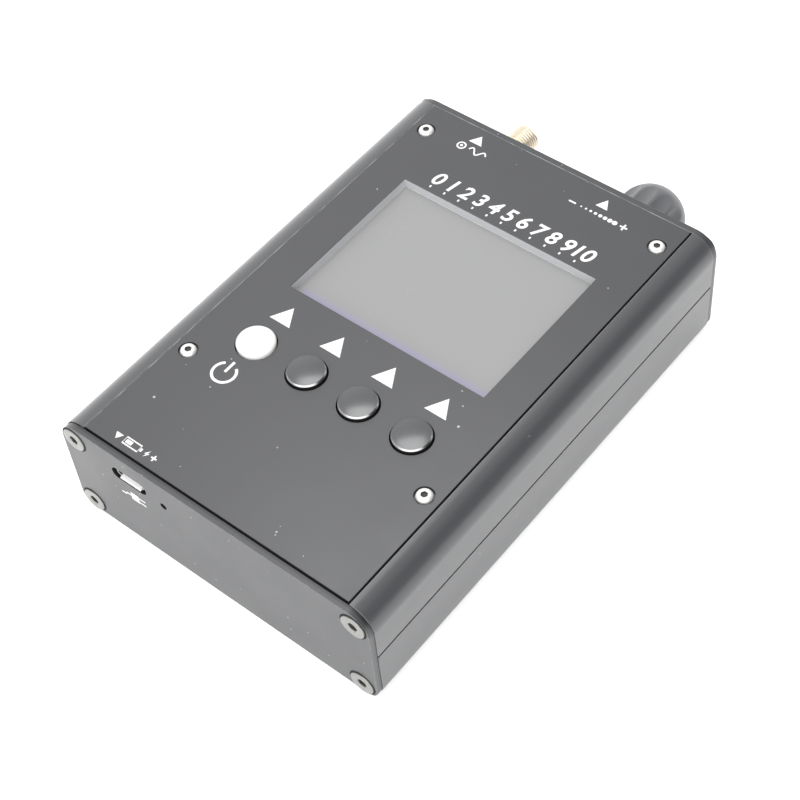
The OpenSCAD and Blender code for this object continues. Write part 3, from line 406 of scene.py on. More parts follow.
def block(form, low, high, ease=0.0):
    """Adds a box between two corners in mm."""
    made = bmesh.ops.create_cube(form, size=1.0)["verts"]
    for v in made:
        v.co = Vector([(low[i] + high[i]) / 2 + v.co[i] * (high[i] - low[i]) for i in range(3)]) / 1000
    if ease:
        edges = list({e for v in made for e in v.link_edges})
        bmesh.ops.bevel(form, geom=edges, offset=ease / 1000, segments=1, profile=0.5, affect="EDGES")


def extra(form, name, finish):
    """Makes a small piece of the case that has no CAD node of its own."""
    return shown(name, mesh_of(form, name), finish, "case")


# Epoxy moulding compound: matt black with a fine grain, laser-dull on top.
chip_epoxy = surface("epoxy_compound_moulded", "#1b1b1c", Roughness=0.6)
relief(chip_epoxy, 0.25, 0.008)
rub(chip_epoxy, 0.15, "#4c4c4e", 0.5)
all_eased(["microcontroller", "radio_chip", "charger_chip"], 0.12, chip_epoxy, "chip_black")

# Tinned copper: the chips' legs, dull silver.
leg_tin = plated("copper_tinned", "#c4c5c4", 0.35)
LEG_W, LEG_T, LEG_LENGTH, LEG_GAP, LEG_EDGE, BARE_CORNERS = 0.26, 0.16, 0.88, 0.02, 0.04, 1


def add_legs(form, chip, per_side, ways):
    """A row of legs on both sides of a chip, for each way that they point: 0 along x, 1 along y."""
    low, high = box_mm(chip)
    for side in (1, -1):
        for out in ways:
            along = 1 - out
            pitch = (high[along] - low[along] - BARE_CORNERS) / (per_side - 1)
            root = (high if side > 0 else low)[out] + side * LEG_GAP
            for k in range(per_side):
                middle = (low[along] + high[along]) / 2 + (k - (per_side - 1) / 2) * pitch
                start, end = [0, 0, high[2] - LEG_GAP - LEG_T], [0, 0, high[2] - LEG_GAP]
                start[along] = middle - LEG_W / 2
                end[along] = middle + LEG_W / 2
                start[out], end[out] = sorted([root, root + side * LEG_LENGTH])
                block(form, start, end, LEG_EDGE)


legs = bmesh.new()
add_legs(legs, "microcontroller", 16, (1, 0))
add_legs(legs, "charger_chip", 4, (1,))
extra(legs, "chip_legs_tinned", leg_tin)

# Drawn and tinned sheet: bright, faintly mottled grey.
can_tin = plated("sheet_steel_tinned", "#c9cbcc", 0.3, 0.6)
rub(can_tin, 0.25, "#f2f2f2", 0.4)
all_eased(["shield_can", "crystal_can"], 0.25, can_tin, "plated_steel")

# Sintered ferrite: charcoal grey and slightly sparkling.
coil_ferrite = surface("ferrite_sintered", "#48494b", Roughness=0.55)
relief(coil_ferrite, 0.2, 0.02)
rub(coil_ferrite, 0.3, "#8a8b8c", 0.5)
eased("power_inductor", 0.4, coil_ferrite, "small_parts")

# Barium titanate chips: fired ceramic, tan, with tinned ends.
chip_ceramic = surface("ceramic_fired", "#b3976a", Roughness=0.5)
relief(chip_ceramic, 0.2, 0.01)
eased("small_chips", 0.05, chip_ceramic, "small_parts")
END_W, END_T, END_EDGE = 0.35, 0.02, 0.04


def islands(node):
    """The boxes, in mm, of the separate pieces that one CAD node holds."""
    form = joined_form(node)
    boxes, done = [], set()
    for vert in form.verts:
        if vert in done:
            continue
        island, queue = {vert}, [vert]
        while queue:
            for edge in queue.pop().link_edges:
                fresh = set(edge.verts) - island
                island |= fresh
                queue += fresh
        done |= island
        boxes.append([[most(v.co[i] for v in island) * 1000 for i in range(3)] for most in (min, max)])
    form.free()
    return boxes


chip_ends = bmesh.new()
for low, high in islands("small_chips"):
    for start, end in ((low[1] - END_T, low[1] + END_W), (high[1] - END_W, high[1] + END_T)):
        block(chip_ends, (low[0] - END_T, start, low[2] - END_T), (high[0] + END_T, end, high[2]), END_EDGE)
extra(chip_ends, "small_chip_ends_tinned", leg_tin)

# ---- Key switches ----
# Four square tactile switches on the top of the board: a black base, a steel cover with a
# round mouth and four rivets, and a square plunger that carries the key cap.

# Glass-filled nylon: black, dull, with a grainy skin.
switch_nylon = surface("nylon_glass_filled", "#242426", Roughness=0.55)
relief(switch_nylon, 0.3, 0.012)
rub(switch_nylon, 0.2, "#5a5a5c", 0.4)
all_eased(["switch_bases", "encoder_rear_cover"], 0.2, switch_nylon, "switch_plastic")
eased("switch_covers", 0.08, can_tin, "plated_steel")


def middle_mm(node):
    """The middle of a CAD node's box, in mm."""
    return [round((low + high) / 2, 3) for low, high in zip(*box_mm(node))]


KEYS = ("power", "left", "middle", "right")
key_places = [middle_mm(key + "_key_plunger")[:2] for key in KEYS]
cover_top = box_mm("switch_covers")[1][2]
RIVET_OUT = 4.9
rivets = bmesh.new()
for key_x, key_y in key_places:
    for x in (key_x - RIVET_OUT, key_x + RIVET_OUT):
        for y in (key_y - RIVET_OUT, key_y + RIVET_OUT):
            turn(rivets, [(0, 0.35), (0.3, 0.33), (0.5, 0.2), (0.55, 0.0)], at(x, y, cover_top), 16)
extra(rivets, "switch_rivets_black", switch_nylon)

# Moulded acetal: off-white and slippery.
plunger_acetal = surface("acetal_moulded", "#d8d2c0", Roughness=0.4)
relief(plunger_acetal, 0.4, 0.008)
rub(plunger_acetal, 0.2, "#f4f1e8", 0.4)
all_eased([key + "_key_plunger" for key in KEYS], 0.25, plunger_acetal, "plunger_plastic")

# ---- Display module ----
# A colour liquid-crystal panel: two glass panes over a backlight, in a black carrier on the
# board, with a film tail folded to its connector and a foam gasket against the face plate.
eased("display_carrier", 0.15, switch_nylon, "carrier_black")

# Backlight guide: milky acrylic in a white reflector.
guide_acrylic = surface("acrylic_light_guide", "#e8e9ea", Roughness=0.35, Subsurface_Weight=0.2,
                        Subsurface_Scale=0.002)
relief(guide_acrylic, 0.5, 0.01)
eased("display_backlight", 0.15, guide_acrylic, "backlight")

# The panel through its satin polariser: pale grey, lit from behind. Its border glows a little more than the
# picture: painted light that evens out the shade the window's walls cast on it.
panel_glass = surface("polariser_on_glass", "#8b8b8c", Roughness=0.25, IOR=1.5)
relief(panel_glass, 0.4, 0.001, 0.03)
panel_place = add(panel_glass, "SeparateXYZ", {0: add(panel_glass, "TexCoord").outputs["Object"]})
# The picture's edges in x and in y, and the soft step between it and the border.
PICTURE, STEP = ((-23.5, 25.0), (-2.9, 33.6)), 0.12
inside = 1.0
for axis, (low, high) in enumerate(PICTURE):
    for start, end in ((low - STEP, low + STEP), (high + STEP, high - STEP)):
        side = add(panel_glass, "MapRange", {
            "Value": panel_place.outputs[axis], "From Min": start / 1000, "From Max": end / 1000},
            interpolation_type="SMOOTHSTEP")
        inside = add(panel_glass, "Math", {0: inside, 1: side.outputs[0]}, operation="MULTIPLY").outputs[0]
# The border's stronger glow is painted light; the picture's glow is the backlight.
BORDER_PAINTED_LIGHT, PICTURE_GLOW = 0.14, 0.125
backlight_and_painted_light = add(panel_glass, "MapRange", {"Value": inside, "To Min": BORDER_PAINTED_LIGHT, "To Max": PICTURE_GLOW})
panel_glass.node_tree.links.new(backlight_and_painted_light.outputs[0], skin_input(panel_glass, "Emission Strength"))
skin_input(panel_glass, "Emission Color").default_value = colour("#f8f8f6")
# The backlight leaks a little violet along the last 2.4 mm of the picture's near edge.
LEAK_REACH = 2.4
picture_near = PICTURE[1][0]
violet = add(panel_glass, "MapRange", {
    "Value": panel_place.outputs[1], "From Min": (picture_near + LEAK_REACH) / 1000,
    "From Max": picture_near / 1000, "To Max": 0.5})
leak = add(panel_glass, "Math", {0: inside, 1: violet.outputs[0]}, operation="MULTIPLY")
lay_over(panel_glass, leak.outputs[0], "#9288c8")
eased("display_glass", 0.08, panel_glass, "display_glass")

# Polyethylene foam tape, die cut: light grey and close-celled.
gasket_foam = surface("polyethylene_foam_cut", "#d6d7d8", Roughness=0.8)
relief(gasket_foam, 0.3, 0.03)
eased("display_gasket", 0.05, gasket_foam, "gasket_foam")

# Polyimide film with etched tracks: amber, with copper lines along it, one every 0.8 mm, which is
# wider than the real 0.3 mm so that they show.
tail_polyimide = surface("polyimide_film_etched", "#b5742c", Roughness=0.35, Coat_Weight=0.3)
relief(tail_polyimide, 0.8, 0.005)
tail_y = add(tail_polyimide, "SeparateXYZ", {0: add(tail_polyimide, "TexCoord").outputs["Object"]})
TAIL_PITCH = 0.8
tail_wave = add(tail_polyimide, "Math", {0: tail_y.outputs[1], 1: 2000 * math.pi / TAIL_PITCH},
                operation="MULTIPLY")
tail_sine = add(tail_polyimide, "Math", {0: tail_wave.outputs[0]}, operation="SINE")
tail_line = add(tail_polyimide, "MapRange", {
    "Value": tail_sine.outputs[0], "From Min": 0.1, "From Max": 0.5, "To Max": 0.6})
lay_over(tail_polyimide, tail_line.outputs[0], "#8a4f20")
solids["display_tail"].material_slots[0].material = tail_polyimide

# Heat-proof moulded plastic of the tail's connector: ivory, fine grained.
connector_plastic = surface("liquid_crystal_polymer_moulded", "#e2dccb", Roughness=0.5)
relief(connector_plastic, 0.4, 0.01)
rub(connector_plastic, 0.2, "#ffffff", 0.3)
eased("tail_connector", 0.12, connector_plastic, "connector_plastic")

# ---- Face plate, its screws and its printing ----
# A flat aluminium plate sunk between the rails, milled, anodised black like the shells and
# held by four small button-head screws. White ink is screen printed on it.

# Black anodised sheet: the same dye over rolled metal, without lines, with a little dust on it.
plate_anodised = surface("anodised_aluminium_sheet", "#38393c", Roughness=0.36, IOR=1.62,
                         Coat_Weight=0.6, Coat_Roughness=0.32)
relief(plate_anodised, 0.3, 0.006)
rub(plate_anodised, 0.2, "#a2a4a6", 0.35)
dust(plate_anodised, 6, 0.6, "#b9babb", 0.5, 0)
dust(plate_anodised, 2.6, 0.42, "#b4b5b6", 0.25, 0)
# The left and the far edge touch the case and are scuffed bright, in patches some 3 mm long.
(face_left, _, _), (_, face_far, face_top) = box_mm("face_plate")
SCUFF_LENGTH, SCUFF_W = 10 / 3, 0.2
scuff_place = add(plate_anodised, "TexCoord").outputs["Object"]
scuff_way = add(plate_anodised, "SeparateXYZ", {0: scuff_place})
scuff_spots = add(plate_anodised, "TexNoise", {
    "Vector": scuff_place, "Scale": 1000 / SCUFF_LENGTH, "Detail": 4.0})
scuff_patch = add(plate_anodised, "MapRange", {
    "Value": scuff_spots.outputs[0], "From Min": 0.4, "From Max": 0.6, "To Min": 0.1, "To Max": 0.65})
for axis, edge, inward in ((0, face_left, 1), (1, face_far, -1)):
    strip = add(plate_anodised, "MapRange", {
        "Value": scuff_way.outputs[axis], "From Min": (edge + inward * SCUFF_W) / 1000,
        "From Max": (edge + inward * SCUFF_W / 2) / 1000})
    scuff = add(plate_anodised, "Math", {0: strip.outputs[0], 1: scuff_patch.outputs[0]},
                operation="MULTIPLY")
    lay_over(plate_anodised, scuff.outputs[0], "#cfd1d2")
plate = eased("face_plate", 0.08, plate_anodised, "face_black")


def also(piece, finish, chosen):
    """Gives the faces that chosen picks a finish of their own."""
    piece.data.materials.append(finish)
    for face in piece.data.polygons:
        if chosen(face):
            face.material_index = len(piece.data.materials) - 1


# The window is milled out after anodising: bare bright metal with fine cutter marks.
milled_wall = surface("aluminium_milled_bare", "#c6c7ca", Metallic=0.15, Roughness=0.5)
relief(milled_wall, 0.25, 0.004, run=(1, 1, 8))
window_low, window_high = frame["record"]["physics"]["openings"][0]["box_m"]
WALL_BAND = 0.0008
also(plate, milled_wall, lambda face: abs(face.normal.z) < 0.3 and all(
    low - WALL_BAND < spot < high + WALL_BAND
    for low, spot, high in zip(window_low[:2], face.center[:2], window_high[:2])))

# The heads are low domes on a short straight side, and stand in counterbores.
HEAD_SINK, HEAD_H, HEAD_SIDE_H, CROWN_W, FACE_SOCKET_R, FACE_SCREW_TIP = 0.7, 1.15, 0.345, 0.665, 0.66, -4.4
dome = [(HEAD_R - CROWN_W * (1 - math.cos(a)), HEAD_SIDE_H + (HEAD_H - HEAD_SIDE_H) * math.sin(a))
        for a in (math.radians(d) for d in range(0, 91, 10))]
face_screws = bmesh.new()
for x, y in screw_places:
    turn(face_screws, [(0, FACE_SCREW_TIP), (SHANK_R - SHANK_POINT, FACE_SCREW_TIP), (SHANK_R, -4.1),
                       (SHANK_R, 0), (HEAD_R - 0.05, 0), (HEAD_R, 0.05), *dome, (0.8, HEAD_H),
                       (FACE_SOCKET_R, 1.07, hex_section), (FACE_SOCKET_R, 0.62, hex_section), (0, 0.5)],
         at(x, y, face_top - HEAD_SINK), 60)
# Stainless steel, tumbled: pale and satin.
tumbled_steel = surface("steel_stainless_tumbled", "#f4f4f2", Metallic=0.5, Roughness=0.42)
relief(tumbled_steel, 0.3, 0.004)
face_screws = piece_of(face_screws, "face_screws_headed", tumbled_steel, "screw_steel", "face_screws")
# Painted shade: the hex sockets are coloured dark and dull for the shade inside them.
socket_painted_shade = surface("painted_shade_in_socket", "#55524d", Roughness=0.6)
relief(socket_painted_shade, 0.2, 0.02)
SOCKET_SHADE_LOW, SOCKET_SHADE_HIGH, SOCKET_SHADE_R = 0.0275, 0.0282, 0.00082
also(face_screws, socket_painted_shade, lambda face: SOCKET_SHADE_LOW < face.center.z < SOCKET_SHADE_HIGH and min(
    math.hypot(face.center.x - x / 1000, face.center.y - y / 1000) for x, y in screw_places) < SOCKET_SHADE_R)

# Screen-printed epoxy ink: flat white, slightly raised, with a faint mesh texture.
print_ink = surface("epoxy_ink_screen_printed", "#fdfdfc", Roughness=0.5)
relief(print_ink, 0.15, 0.003)
INK_T = 0.02


def bow(x, y, r, start, end, steps=24):
    """Points of an arc about x, y, from start to end degrees."""
    return [(x + r * math.cos(math.radians(start + (end - start) * k / steps)),
             y + r * math.sin(math.radians(start + (end - start) * k / steps))) for k in range(steps + 1)]


def stroke(points, width, closed=False):
    """The outlines of a line of even width along points, one for each stretch of it."""
    path = [Vector(p) for p in points]
    left, right = [], []
    for k, p in enumerate(path):
        before = path[k - 1] if k or closed else p
        after = path[(k + 1) % len(path)] if k + 1 < len(path) or closed else p
        way = (after - before).normalized()
        side = Vector((-way.y, way.x)) * width / 2
        left.append(p + side)
        right.append(p - side)
    if closed:
        return [[left[k], left[(k + 1) % len(path)], right[(k + 1) % len(path)], right[k]]
                for k in range(len(path))]
    return [[left[k], left[k + 1], right[k + 1], right[k]] for k in range(len(path) - 1)]


def ink(form, outlines, place):
    """Adds flat marks: the outlines are joined up and pulled out by the thickness of the ink."""
    flat = bmesh.new()
    for outline in outlines:
        flat.faces.new([flat.verts.new((p[0] / 1000, p[1] / 1000, 0)) for p in outline])
    bmesh.ops.remove_doubles(flat, verts=flat.verts, dist=1e-6)
    pulled = bmesh.ops.extrude_face_region(flat, geom=flat.faces[:])["geom"]
    raised = [g for g in pulled if isinstance(g, bmesh.types.BMVert)]
    bmesh.ops.translate(flat, verts=raised, vec=(0, 0, INK_T / 1000))
    bmesh.ops.recalc_face_normals(flat, faces=flat.faces)
    mark = bpy.data.meshes.new("mark")
    flat.to_mesh(mark)
    flat.free()
    mark.transform(Matrix.Scale(0.001, 4) @ place @ Matrix.Scale(1000, 4))
    form.from_mesh(mark)
    bpy.data.meshes.remove(mark)


def numeral(text, x, y, height, lean, bold):
    """Flat outlines of a number in the built-in typeface, centred on x, on the line y."""
    figure_share = 0.7
    curve = bpy.data.curves.new("numeral", "FONT")
    curve.body = text
    curve.size = height / figure_share
    curve.align_x = "CENTER"
    curve.shear = lean
    curve.offset = bold
    holder = bpy.data.objects.new("numeral", curve)
    mesh = holder.to_mesh()
    faces = [[(mesh.vertices[i].co.x + x, mesh.vertices[i].co.y + y) for i in f.vertices]
             for f in mesh.polygons]
    holder.to_mesh_clear()
    bpy.data.objects.remove(holder)
    bpy.data.curves.remove(curve)
    return faces


def oblong(left, low, right, high):
    """The outline of a rectangle."""
    return [(left, low), (right, low), (right, high), (left, high)]


marks = bmesh.new()
face_place = at(0, 0, face_top)


def face_ink(outlines):
    """Adds marks to the face."""
    ink(marks, outlines, face_place)


def plus(x, y, arm, width, gap):
    """A plus sign on the face: a bar, and a stub above and below it, gap mm from its middle."""
    face_ink(stroke([(x - arm, y), (x + arm, y)], width))
    face_ink([oblong(x - width / 2, y + gap, x + width / 2, y + arm),
              oblong(x - width / 2, y - arm, x + width / 2, y - gap)])


# Triangles that point at each key, the jack, the knob and the socket.
KEY_MARK_X, KEY_MARK_PITCH = -20.25, 13.5
triangles = [((x - 2.675, -12.93), (x + 2.675, -12.93), (x, -8.26))
             for x in (KEY_MARK_X + KEY_MARK_PITCH * k for k in range(len(KEYS)))]
triangles += [((-20.73, 51.45), (-17.33, 51.45), (-19.03, 54.1)),
              ((13.32, 51.25), (16.28, 51.25), (14.8, 53.9)),
              ((-26.0, -52.8), (-27.9, -52.8), (-27.0, -54.3))]
face_ink(triangles)
# The standard power symbol beside the white key.
POWER_X, POWER_Y, POWER_W = -20.63, -29.42, 0.62
face_ink(stroke(bow(POWER_X, POWER_Y, 2.55, 125, 415, 40), POWER_W))
face_ink(stroke([(POWER_X, POWER_Y + 0.22), (POWER_X, POWER_Y + 3.22)], POWER_W))
# A plain scale of ten divisions over the display, its figures leaning a little.
SCALE_X, DIVISION, TICK_W, TICK_Y, FIGURE_Y = -19.0, 3.8, 0.4, (35.2, 35.8), 36.6
for k in range(11):
    x = SCALE_X + DIVISION * k
    face_ink([oblong(x - TICK_W / 2, TICK_Y[0], x + TICK_W / 2, TICK_Y[1])])
    face_ink(numeral(str(k), x, FIGURE_Y, 3.6, 0.2, 0.11))
# A coaxial symbol and a wave beside the jack.
COAX_X, COAX_Y, FINE_W = -21.2, 49.4, 0.36
face_ink(stroke(bow(COAX_X, COAX_Y, 0.95, 0, 345, 23), FINE_W, True))
face_ink([bow(COAX_X, COAX_Y, 0.36, 0, 330, 11)])
wave = [(COAX_X + 2 + 0.15 * k, COAX_Y + 0.8 * math.sin(k * math.pi / 10)) for k in range(31)]
face_ink(stroke(wave, FINE_W))
# Minus, a row of growing dots and plus beside the knob.
ROW_Y, ROW_W = 49.2, 0.42
face_ink(stroke([(7.9, ROW_Y), (9.7, ROW_Y)], ROW_W))
for k in range(8):
    face_ink([bow(11.1 + 1.22 * k, ROW_Y, 0.2 + 0.06 * k, 0, 330, 11)])
plus(21.9, ROW_Y, 0.9, ROW_W, 0.25)
# A battery, a bolt and a plus beside the socket.
CHARGE_Y = -53.4
face_ink(stroke(oblong(-25.2, CHARGE_Y - 0.8, -21.2, CHARGE_Y + 0.8), 0.32, True))
face_ink([oblong(-21.0, CHARGE_Y - 0.4, -20.5, CHARGE_Y + 0.4),
          oblong(-24.8, CHARGE_Y - 0.45, -23.2, CHARGE_Y + 0.45)])
bolt = ((0.35, 1), (-0.6, -0.15), (-0.08, -0.15), (-0.35, -1), (0.6, 0.2), (0.08, 0.2))
face_ink([[(-19.2 + 0.95 * x, CHARGE_Y + 0.95 * y) for x, y in bolt]])
plus(-17.3, CHARGE_Y, 0.7, FINE_W, 0.2)
# A plug with its lead under the socket, on the end plate.
plate_out, plate_in = ends_mm("usb_end_plate", 1)
end_place = at(0, plate_out, 0, Matrix.Rotation(math.radians(90), 4, "X"))
PLUG_Z = 16.3
ink(marks, [oblong(-22.2, PLUG_Z - 1.2, -20.0, PLUG_Z + 1.2)], end_place)
for prong in (PLUG_Z - 0.7, PLUG_Z + 0.7):
    ink(marks, [oblong(-19.9, prong - 0.2, -18.2, prong + 0.2)], end_place)
lead = [(-22.3, PLUG_Z), (-23.4, PLUG_Z), (-23.8, PLUG_Z - 0.6), (-24.9, PLUG_Z - 0.6)]
ink(marks, stroke(lead, 0.4), end_place)
extra(marks, "face_printing", print_ink)

# ---- Key caps ----
# Four domed round caps pressed on their switch plungers, moulded in ABS and polished: one
# white for power and three black. They stand a little proud of the face.


def cap_abs(name, shade, rough):
    """Moulded and polished ABS: glossy, with faint ripples and fine wear round the rim."""
    finish = surface(name, shade, Roughness=rough, IOR=1.53, Coat_Weight=0.8, Coat_Roughness=0.15)
    relief(finish, 1.5, 0.004, 0.03)
    rub(finish, 0.15, "#b9babb", 0.35)
    return finish


cap_white = cap_abs("abs_white_polished", "#fdfdfb", 0.25)
cap_black = cap_abs("abs_black_polished", "#505153", 0.25)
# Burnished ABS: a hard mirror gloss on the rim.
rim_abs = surface("abs_black_burnished", "#48494b", Roughness=0.14, IOR=2.8, Specular_IOR_Level=1.0,
                  Coat_Weight=1.0, Coat_Roughness=0.1, Coat_IOR=2.0)
relief(rim_abs, 0.8, 0.002, 0.03)
# Painted shade: the black caps' sides, in the shade of their holes, are coloured deep black and dull.
cap_side_painted_shade = surface("abs_black_side_painted_shade", "#161618", Roughness=0.7, IOR=1.3)
relief(cap_side_painted_shade, 0.4, 0.01)
CAP_R, RIM_W, DOME, STEM_R, STEM_H = 4.2, 0.34, 0.25, 1.95, 3.2
cap_low, cap_high = ends_mm("power_key_cap", 2)
rim_z = cap_high - DOME
dome_r = ((CAP_R - RIM_W) ** 2 + DOME ** 2) / (2 * DOME)
# The rim is a narrow chamfer, burnished by fingers, a little inside the straight sides.
rim = [(CAP_R, rim_z - 0.42), (CAP_R - 0.08, rim_z - 0.3), (CAP_R - 0.3, rim_z - 0.05)]
crown = [(r, cap_high - dome_r + math.sqrt(dome_r ** 2 - r ** 2))
         for r in ((CAP_R - RIM_W) * (1 - j / 10) for j in range(10))]
side_top, rim_top = (rim_z - 0.28) / 1000, (rim_z - 0.01) / 1000
for key, (x, y) in zip(KEYS, key_places):
    is_white = key == "power"
    cap = bmesh.new()
    # The stem's square hole fits over the plunger.
    turn(cap, [(0, cap_low + STEM_H), (STEM_R, cap_low + STEM_H, square_section),
               (STEM_R, cap_low, square_section), (CAP_R - 0.1, cap_low), (CAP_R, cap_low + 0.1),
               *rim, *crown, (0, cap_high)], at(x, y, 0), 64)
    cap = piece_of(cap, key + "_key_cap_moulded", cap_white if is_white else cap_black,
                   "white_key" if is_white else "black_key", key + "_key_cap")
    if not is_white:
        also(cap, rim_abs, lambda face: side_top < face.center.z < rim_top and face.normal.z < 0.95)
        also(cap, cap_side_painted_shade, lambda face: (cap_low + 0.2) / 1000 < face.center.z < side_top)

# ---- End plates and charging socket ----
# Anodised plates close both ends, each held by four countersunk socket screws in the shells'
# ports. The charging socket is folded steel on the board's edge, behind its slot.

# Anodised plate, cut by milling: the face's black, rubbed pale along its edges.
end_anodised = surface("anodised_aluminium_plate", "#3a3b3e", Roughness=0.42, IOR=1.62,
                       Coat_Weight=0.5, Coat_Roughness=0.34)
relief(end_anodised, 0.3, 0.006)
rub(end_anodised, 0.25, "#c2c4c6", 0.8)
dust(end_anodised, 2.5, 0.4, "#a6a7a9", 0.4)
# Painted shade: the last 0.6 mm of the near plate's rim, in its joint with the shells, is darkened for the
# shadow in the joint.
RIM_SHADE_W, RIM_SHADE_FADE = 0.55, 0.15
rim_place = add(end_anodised, "SeparateXYZ", {0: add(end_anodised, "TexCoord").outputs["Object"]})
rim_past = add(end_anodised, "Math", {0: rim_place.outputs[1], 1: -plate_in / 1000}, operation="ADD")
rim_way = add(end_anodised, "Math", {0: rim_past.outputs[0]}, operation="ABSOLUTE")
rim_painted_shade = add(end_anodised, "MapRange", {
    "Value": rim_way.outputs[0], "From Min": (RIM_SHADE_W + RIM_SHADE_FADE) / 1000, "From Max": RIM_SHADE_W / 1000})
lay_over(end_anodised, rim_painted_shade.outputs[0], "#18181a")
usb_plate = eased("usb_end_plate", CASE_EDGE, end_anodised, "face_black", outline=True)
eased("jack_end_plate", CASE_EDGE, end_anodised, "face_black", outline=True)

# Painted shade in the joint round the upper corners: the broken edges there are coloured near black for the
# shadow in the joint. On the right only the plate's broken edge is, on the left the lid's too.
joint_painted_shade = surface("painted_shade_in_joint", "#0e0e0f", Roughness=0.8)
relief(joint_painted_shade, 0.3, 0.02)
CORNER_X, CORNER_Z = 0.034, 0.0205


def in_joint(face):
    """Whether a face is part of a broken edge at the near joint, high up on the case."""
    depth = abs(face.center.y - plate_in / 1000)
    return depth * 1000 < CASE_EDGE + 0.01 and abs(face.normal.y) < 0.98 and face.center.z > CORNER_Z


also(usb_plate, joint_painted_shade, lambda face: in_joint(face) and abs(face.center.x) > CORNER_X)
also(upper_shell, joint_painted_shade, lambda face: in_joint(face) and face.center.x < -CORNER_X)

# Painted shade: the walls of the slot and of the light's hole are coloured flat black for the shade inside
# them.
hole_painted_shade = surface("painted_shade_in_holes", "#0c0c0d", Roughness=0.8)
relief(hole_painted_shade, 0.3, 0.02)
HOLES_X, HOLES_Z = (-0.028, -0.009), (0.006, 0.025)
also(usb_plate, hole_painted_shade, lambda face: abs(face.normal.y) < 0.5
     and HOLES_X[0] < face.center.x < HOLES_X[1] and HOLES_Z[0] < face.center.z < HOLES_Z[1])

END_SCREW_X, END_SCREW_Z, END_HEAD_R, END_SHANK_R, END_SOCKET_R = 36.2, (3.2, 23.8), 2.8, 1.5, 1.0
end_places = [at(x, -plate_out * side, z, Matrix.Rotation(math.radians(-90 * side), 4, "X"))
              for side in (-1, 1) for x in (-END_SCREW_X, END_SCREW_X) for z in END_SCREW_Z]
end_screws = bmesh.new()
for place in end_places:
    turn(end_screws, [(0, -7.7), (END_SHANK_R - 0.3, -7.7), (END_SHANK_R, -7.4), (END_SHANK_R, -1.25),
                      (END_HEAD_R, 0.05), (END_HEAD_R, 0.2), (2.77, 0.27), (2.7, 0.3), (1.28, 0.3),
                      (END_SOCKET_R, 0.15, hex_section), (END_SOCKET_R, -0.8, hex_section), (0, -0.95)],
         place, 60)
# Painted shade: a thin flat black ring round each head stands in for the shadow in the gap round it.
gap_ring_painted_shade = surface("black_ring_painted_shade", "#0e0e0f", Roughness=0.7)
relief(gap_ring_painted_shade, 0.5, 0.01)
SHADE_RING_IN, SHADE_RING_OUT = 2.78, 3.2
shade_rings = bmesh.new()
for place in end_places:
    turn(shade_rings, [(SHADE_RING_IN, 0.0), (SHADE_RING_OUT, 0.0), (3.17, 0.04), (3.05, 0.06), (SHADE_RING_IN, 0.05)],
         place, 48, True)
extra(shade_rings, "end_screw_shade_rings", gap_ring_painted_shade)
# Plain steel with a dull nickel coat: greyer than the stainless screws.
screw_nickel = plated("steel_nickel_plated", "#a5a5a2", 0.34, 0.25)
end_screws = piece_of(end_screws, "end_screws_headed", screw_nickel, "screw_steel", "end_screws")
# The end screws' sockets get the same painted shade.
END_SOCKET_SHADE_Y, END_SOCKET_SHADE_R = (0.0565, 0.0579), 0.00112
also(end_screws, socket_painted_shade, lambda face: END_SOCKET_SHADE_Y[0] < abs(face.center.y) < END_SOCKET_SHADE_Y[1] and min(
    math.hypot(abs(face.center.x) - END_SCREW_X / 1000, face.center.z - z / 1000)
    for z in END_SCREW_Z) < END_SOCKET_SHADE_R)
eased("usb_shell", 0.08, can_tin, "plated_steel")

# The socket's lower lip is rolled, so that its front slopes up and in.
LIP_INSET = 1.0
LIP_OUTLINE = ((-57.62, 20.37), (-57.62, 20.46), (-57.3, 20.66), (-56.2, 20.95), (-56.2, 20.5))
usb_left, usb_right = ends_mm("usb_shell", 0)
lip = bmesh.new()
lip_ends = [[lip.verts.new(Vector((x, y, z)) / 1000) for y, z in LIP_OUTLINE]
            for x in (usb_left + LIP_INSET, usb_right - LIP_INSET)]
for k in range(5):
    lip.faces.new([lip_ends[0][k], lip_ends[0][(k + 1) % 5], lip_ends[1][(k + 1) % 5], lip_ends[1][k]])
for end in lip_ends:
    lip.faces.new(end)
# Tinned steel coloured nearly white and mostly matt: a painted highlight for the bright light the lip
# reflects.
lip_painted_highlight = surface("steel_tinned_painted_highlight", "#fbfbf9", Metallic=0.2, Roughness=0.45)
relief(lip_painted_highlight, 0.3, 0.004)
extra(lip, "usb_shell_lip", lip_painted_highlight)
eased("usb_tongue", 0.08, switch_nylon, "connector_plastic")

# Gold flash over nickel, pale and satin: the socket's five contacts, and later the coaxial jack.
gold_plate = plated("gold_plated_brass", "#f5e8d2", 0.42, 0.3, (1, 0.3, 1))
rub(gold_plate, 0.15, "#fbf2de", 0.4)
CONTACT_PITCH, CONTACT_W, CONTACT_Y, CONTACT_Z = 0.65, 0.32, (-56.4, -53.2), (21.28, 21.42)
contacts = bmesh.new()
for k in range(5):
    x = middle_mm("usb_tongue")[0] + CONTACT_PITCH * (k - 2)
    block(contacts, (x - CONTACT_W / 2, CONTACT_Y[0], CONTACT_Z[0]),
          (x + CONTACT_W / 2, CONTACT_Y[1], CONTACT_Z[1]), 0.03)
extra(contacts, "usb_contacts_plated", gold_plate)

# Clear epoxy over the light: greenish, glossy.
light_epoxy = surface("epoxy_clear_cast", "#cfd9c6", Roughness=0.15, Transmission_Weight=0.3)
relief(light_epoxy, 0.5, 0.005, 0.03)
eased("charge_light", 0.1, light_epoxy, "light_lens")

# ---- Coaxial jack ----
# A gold-plated brass jack with a 1/4-36 outer thread, soldered to the board by its block and
# clamped to the end plate by a washer and hex nut. Its contact sits in a white insulator.


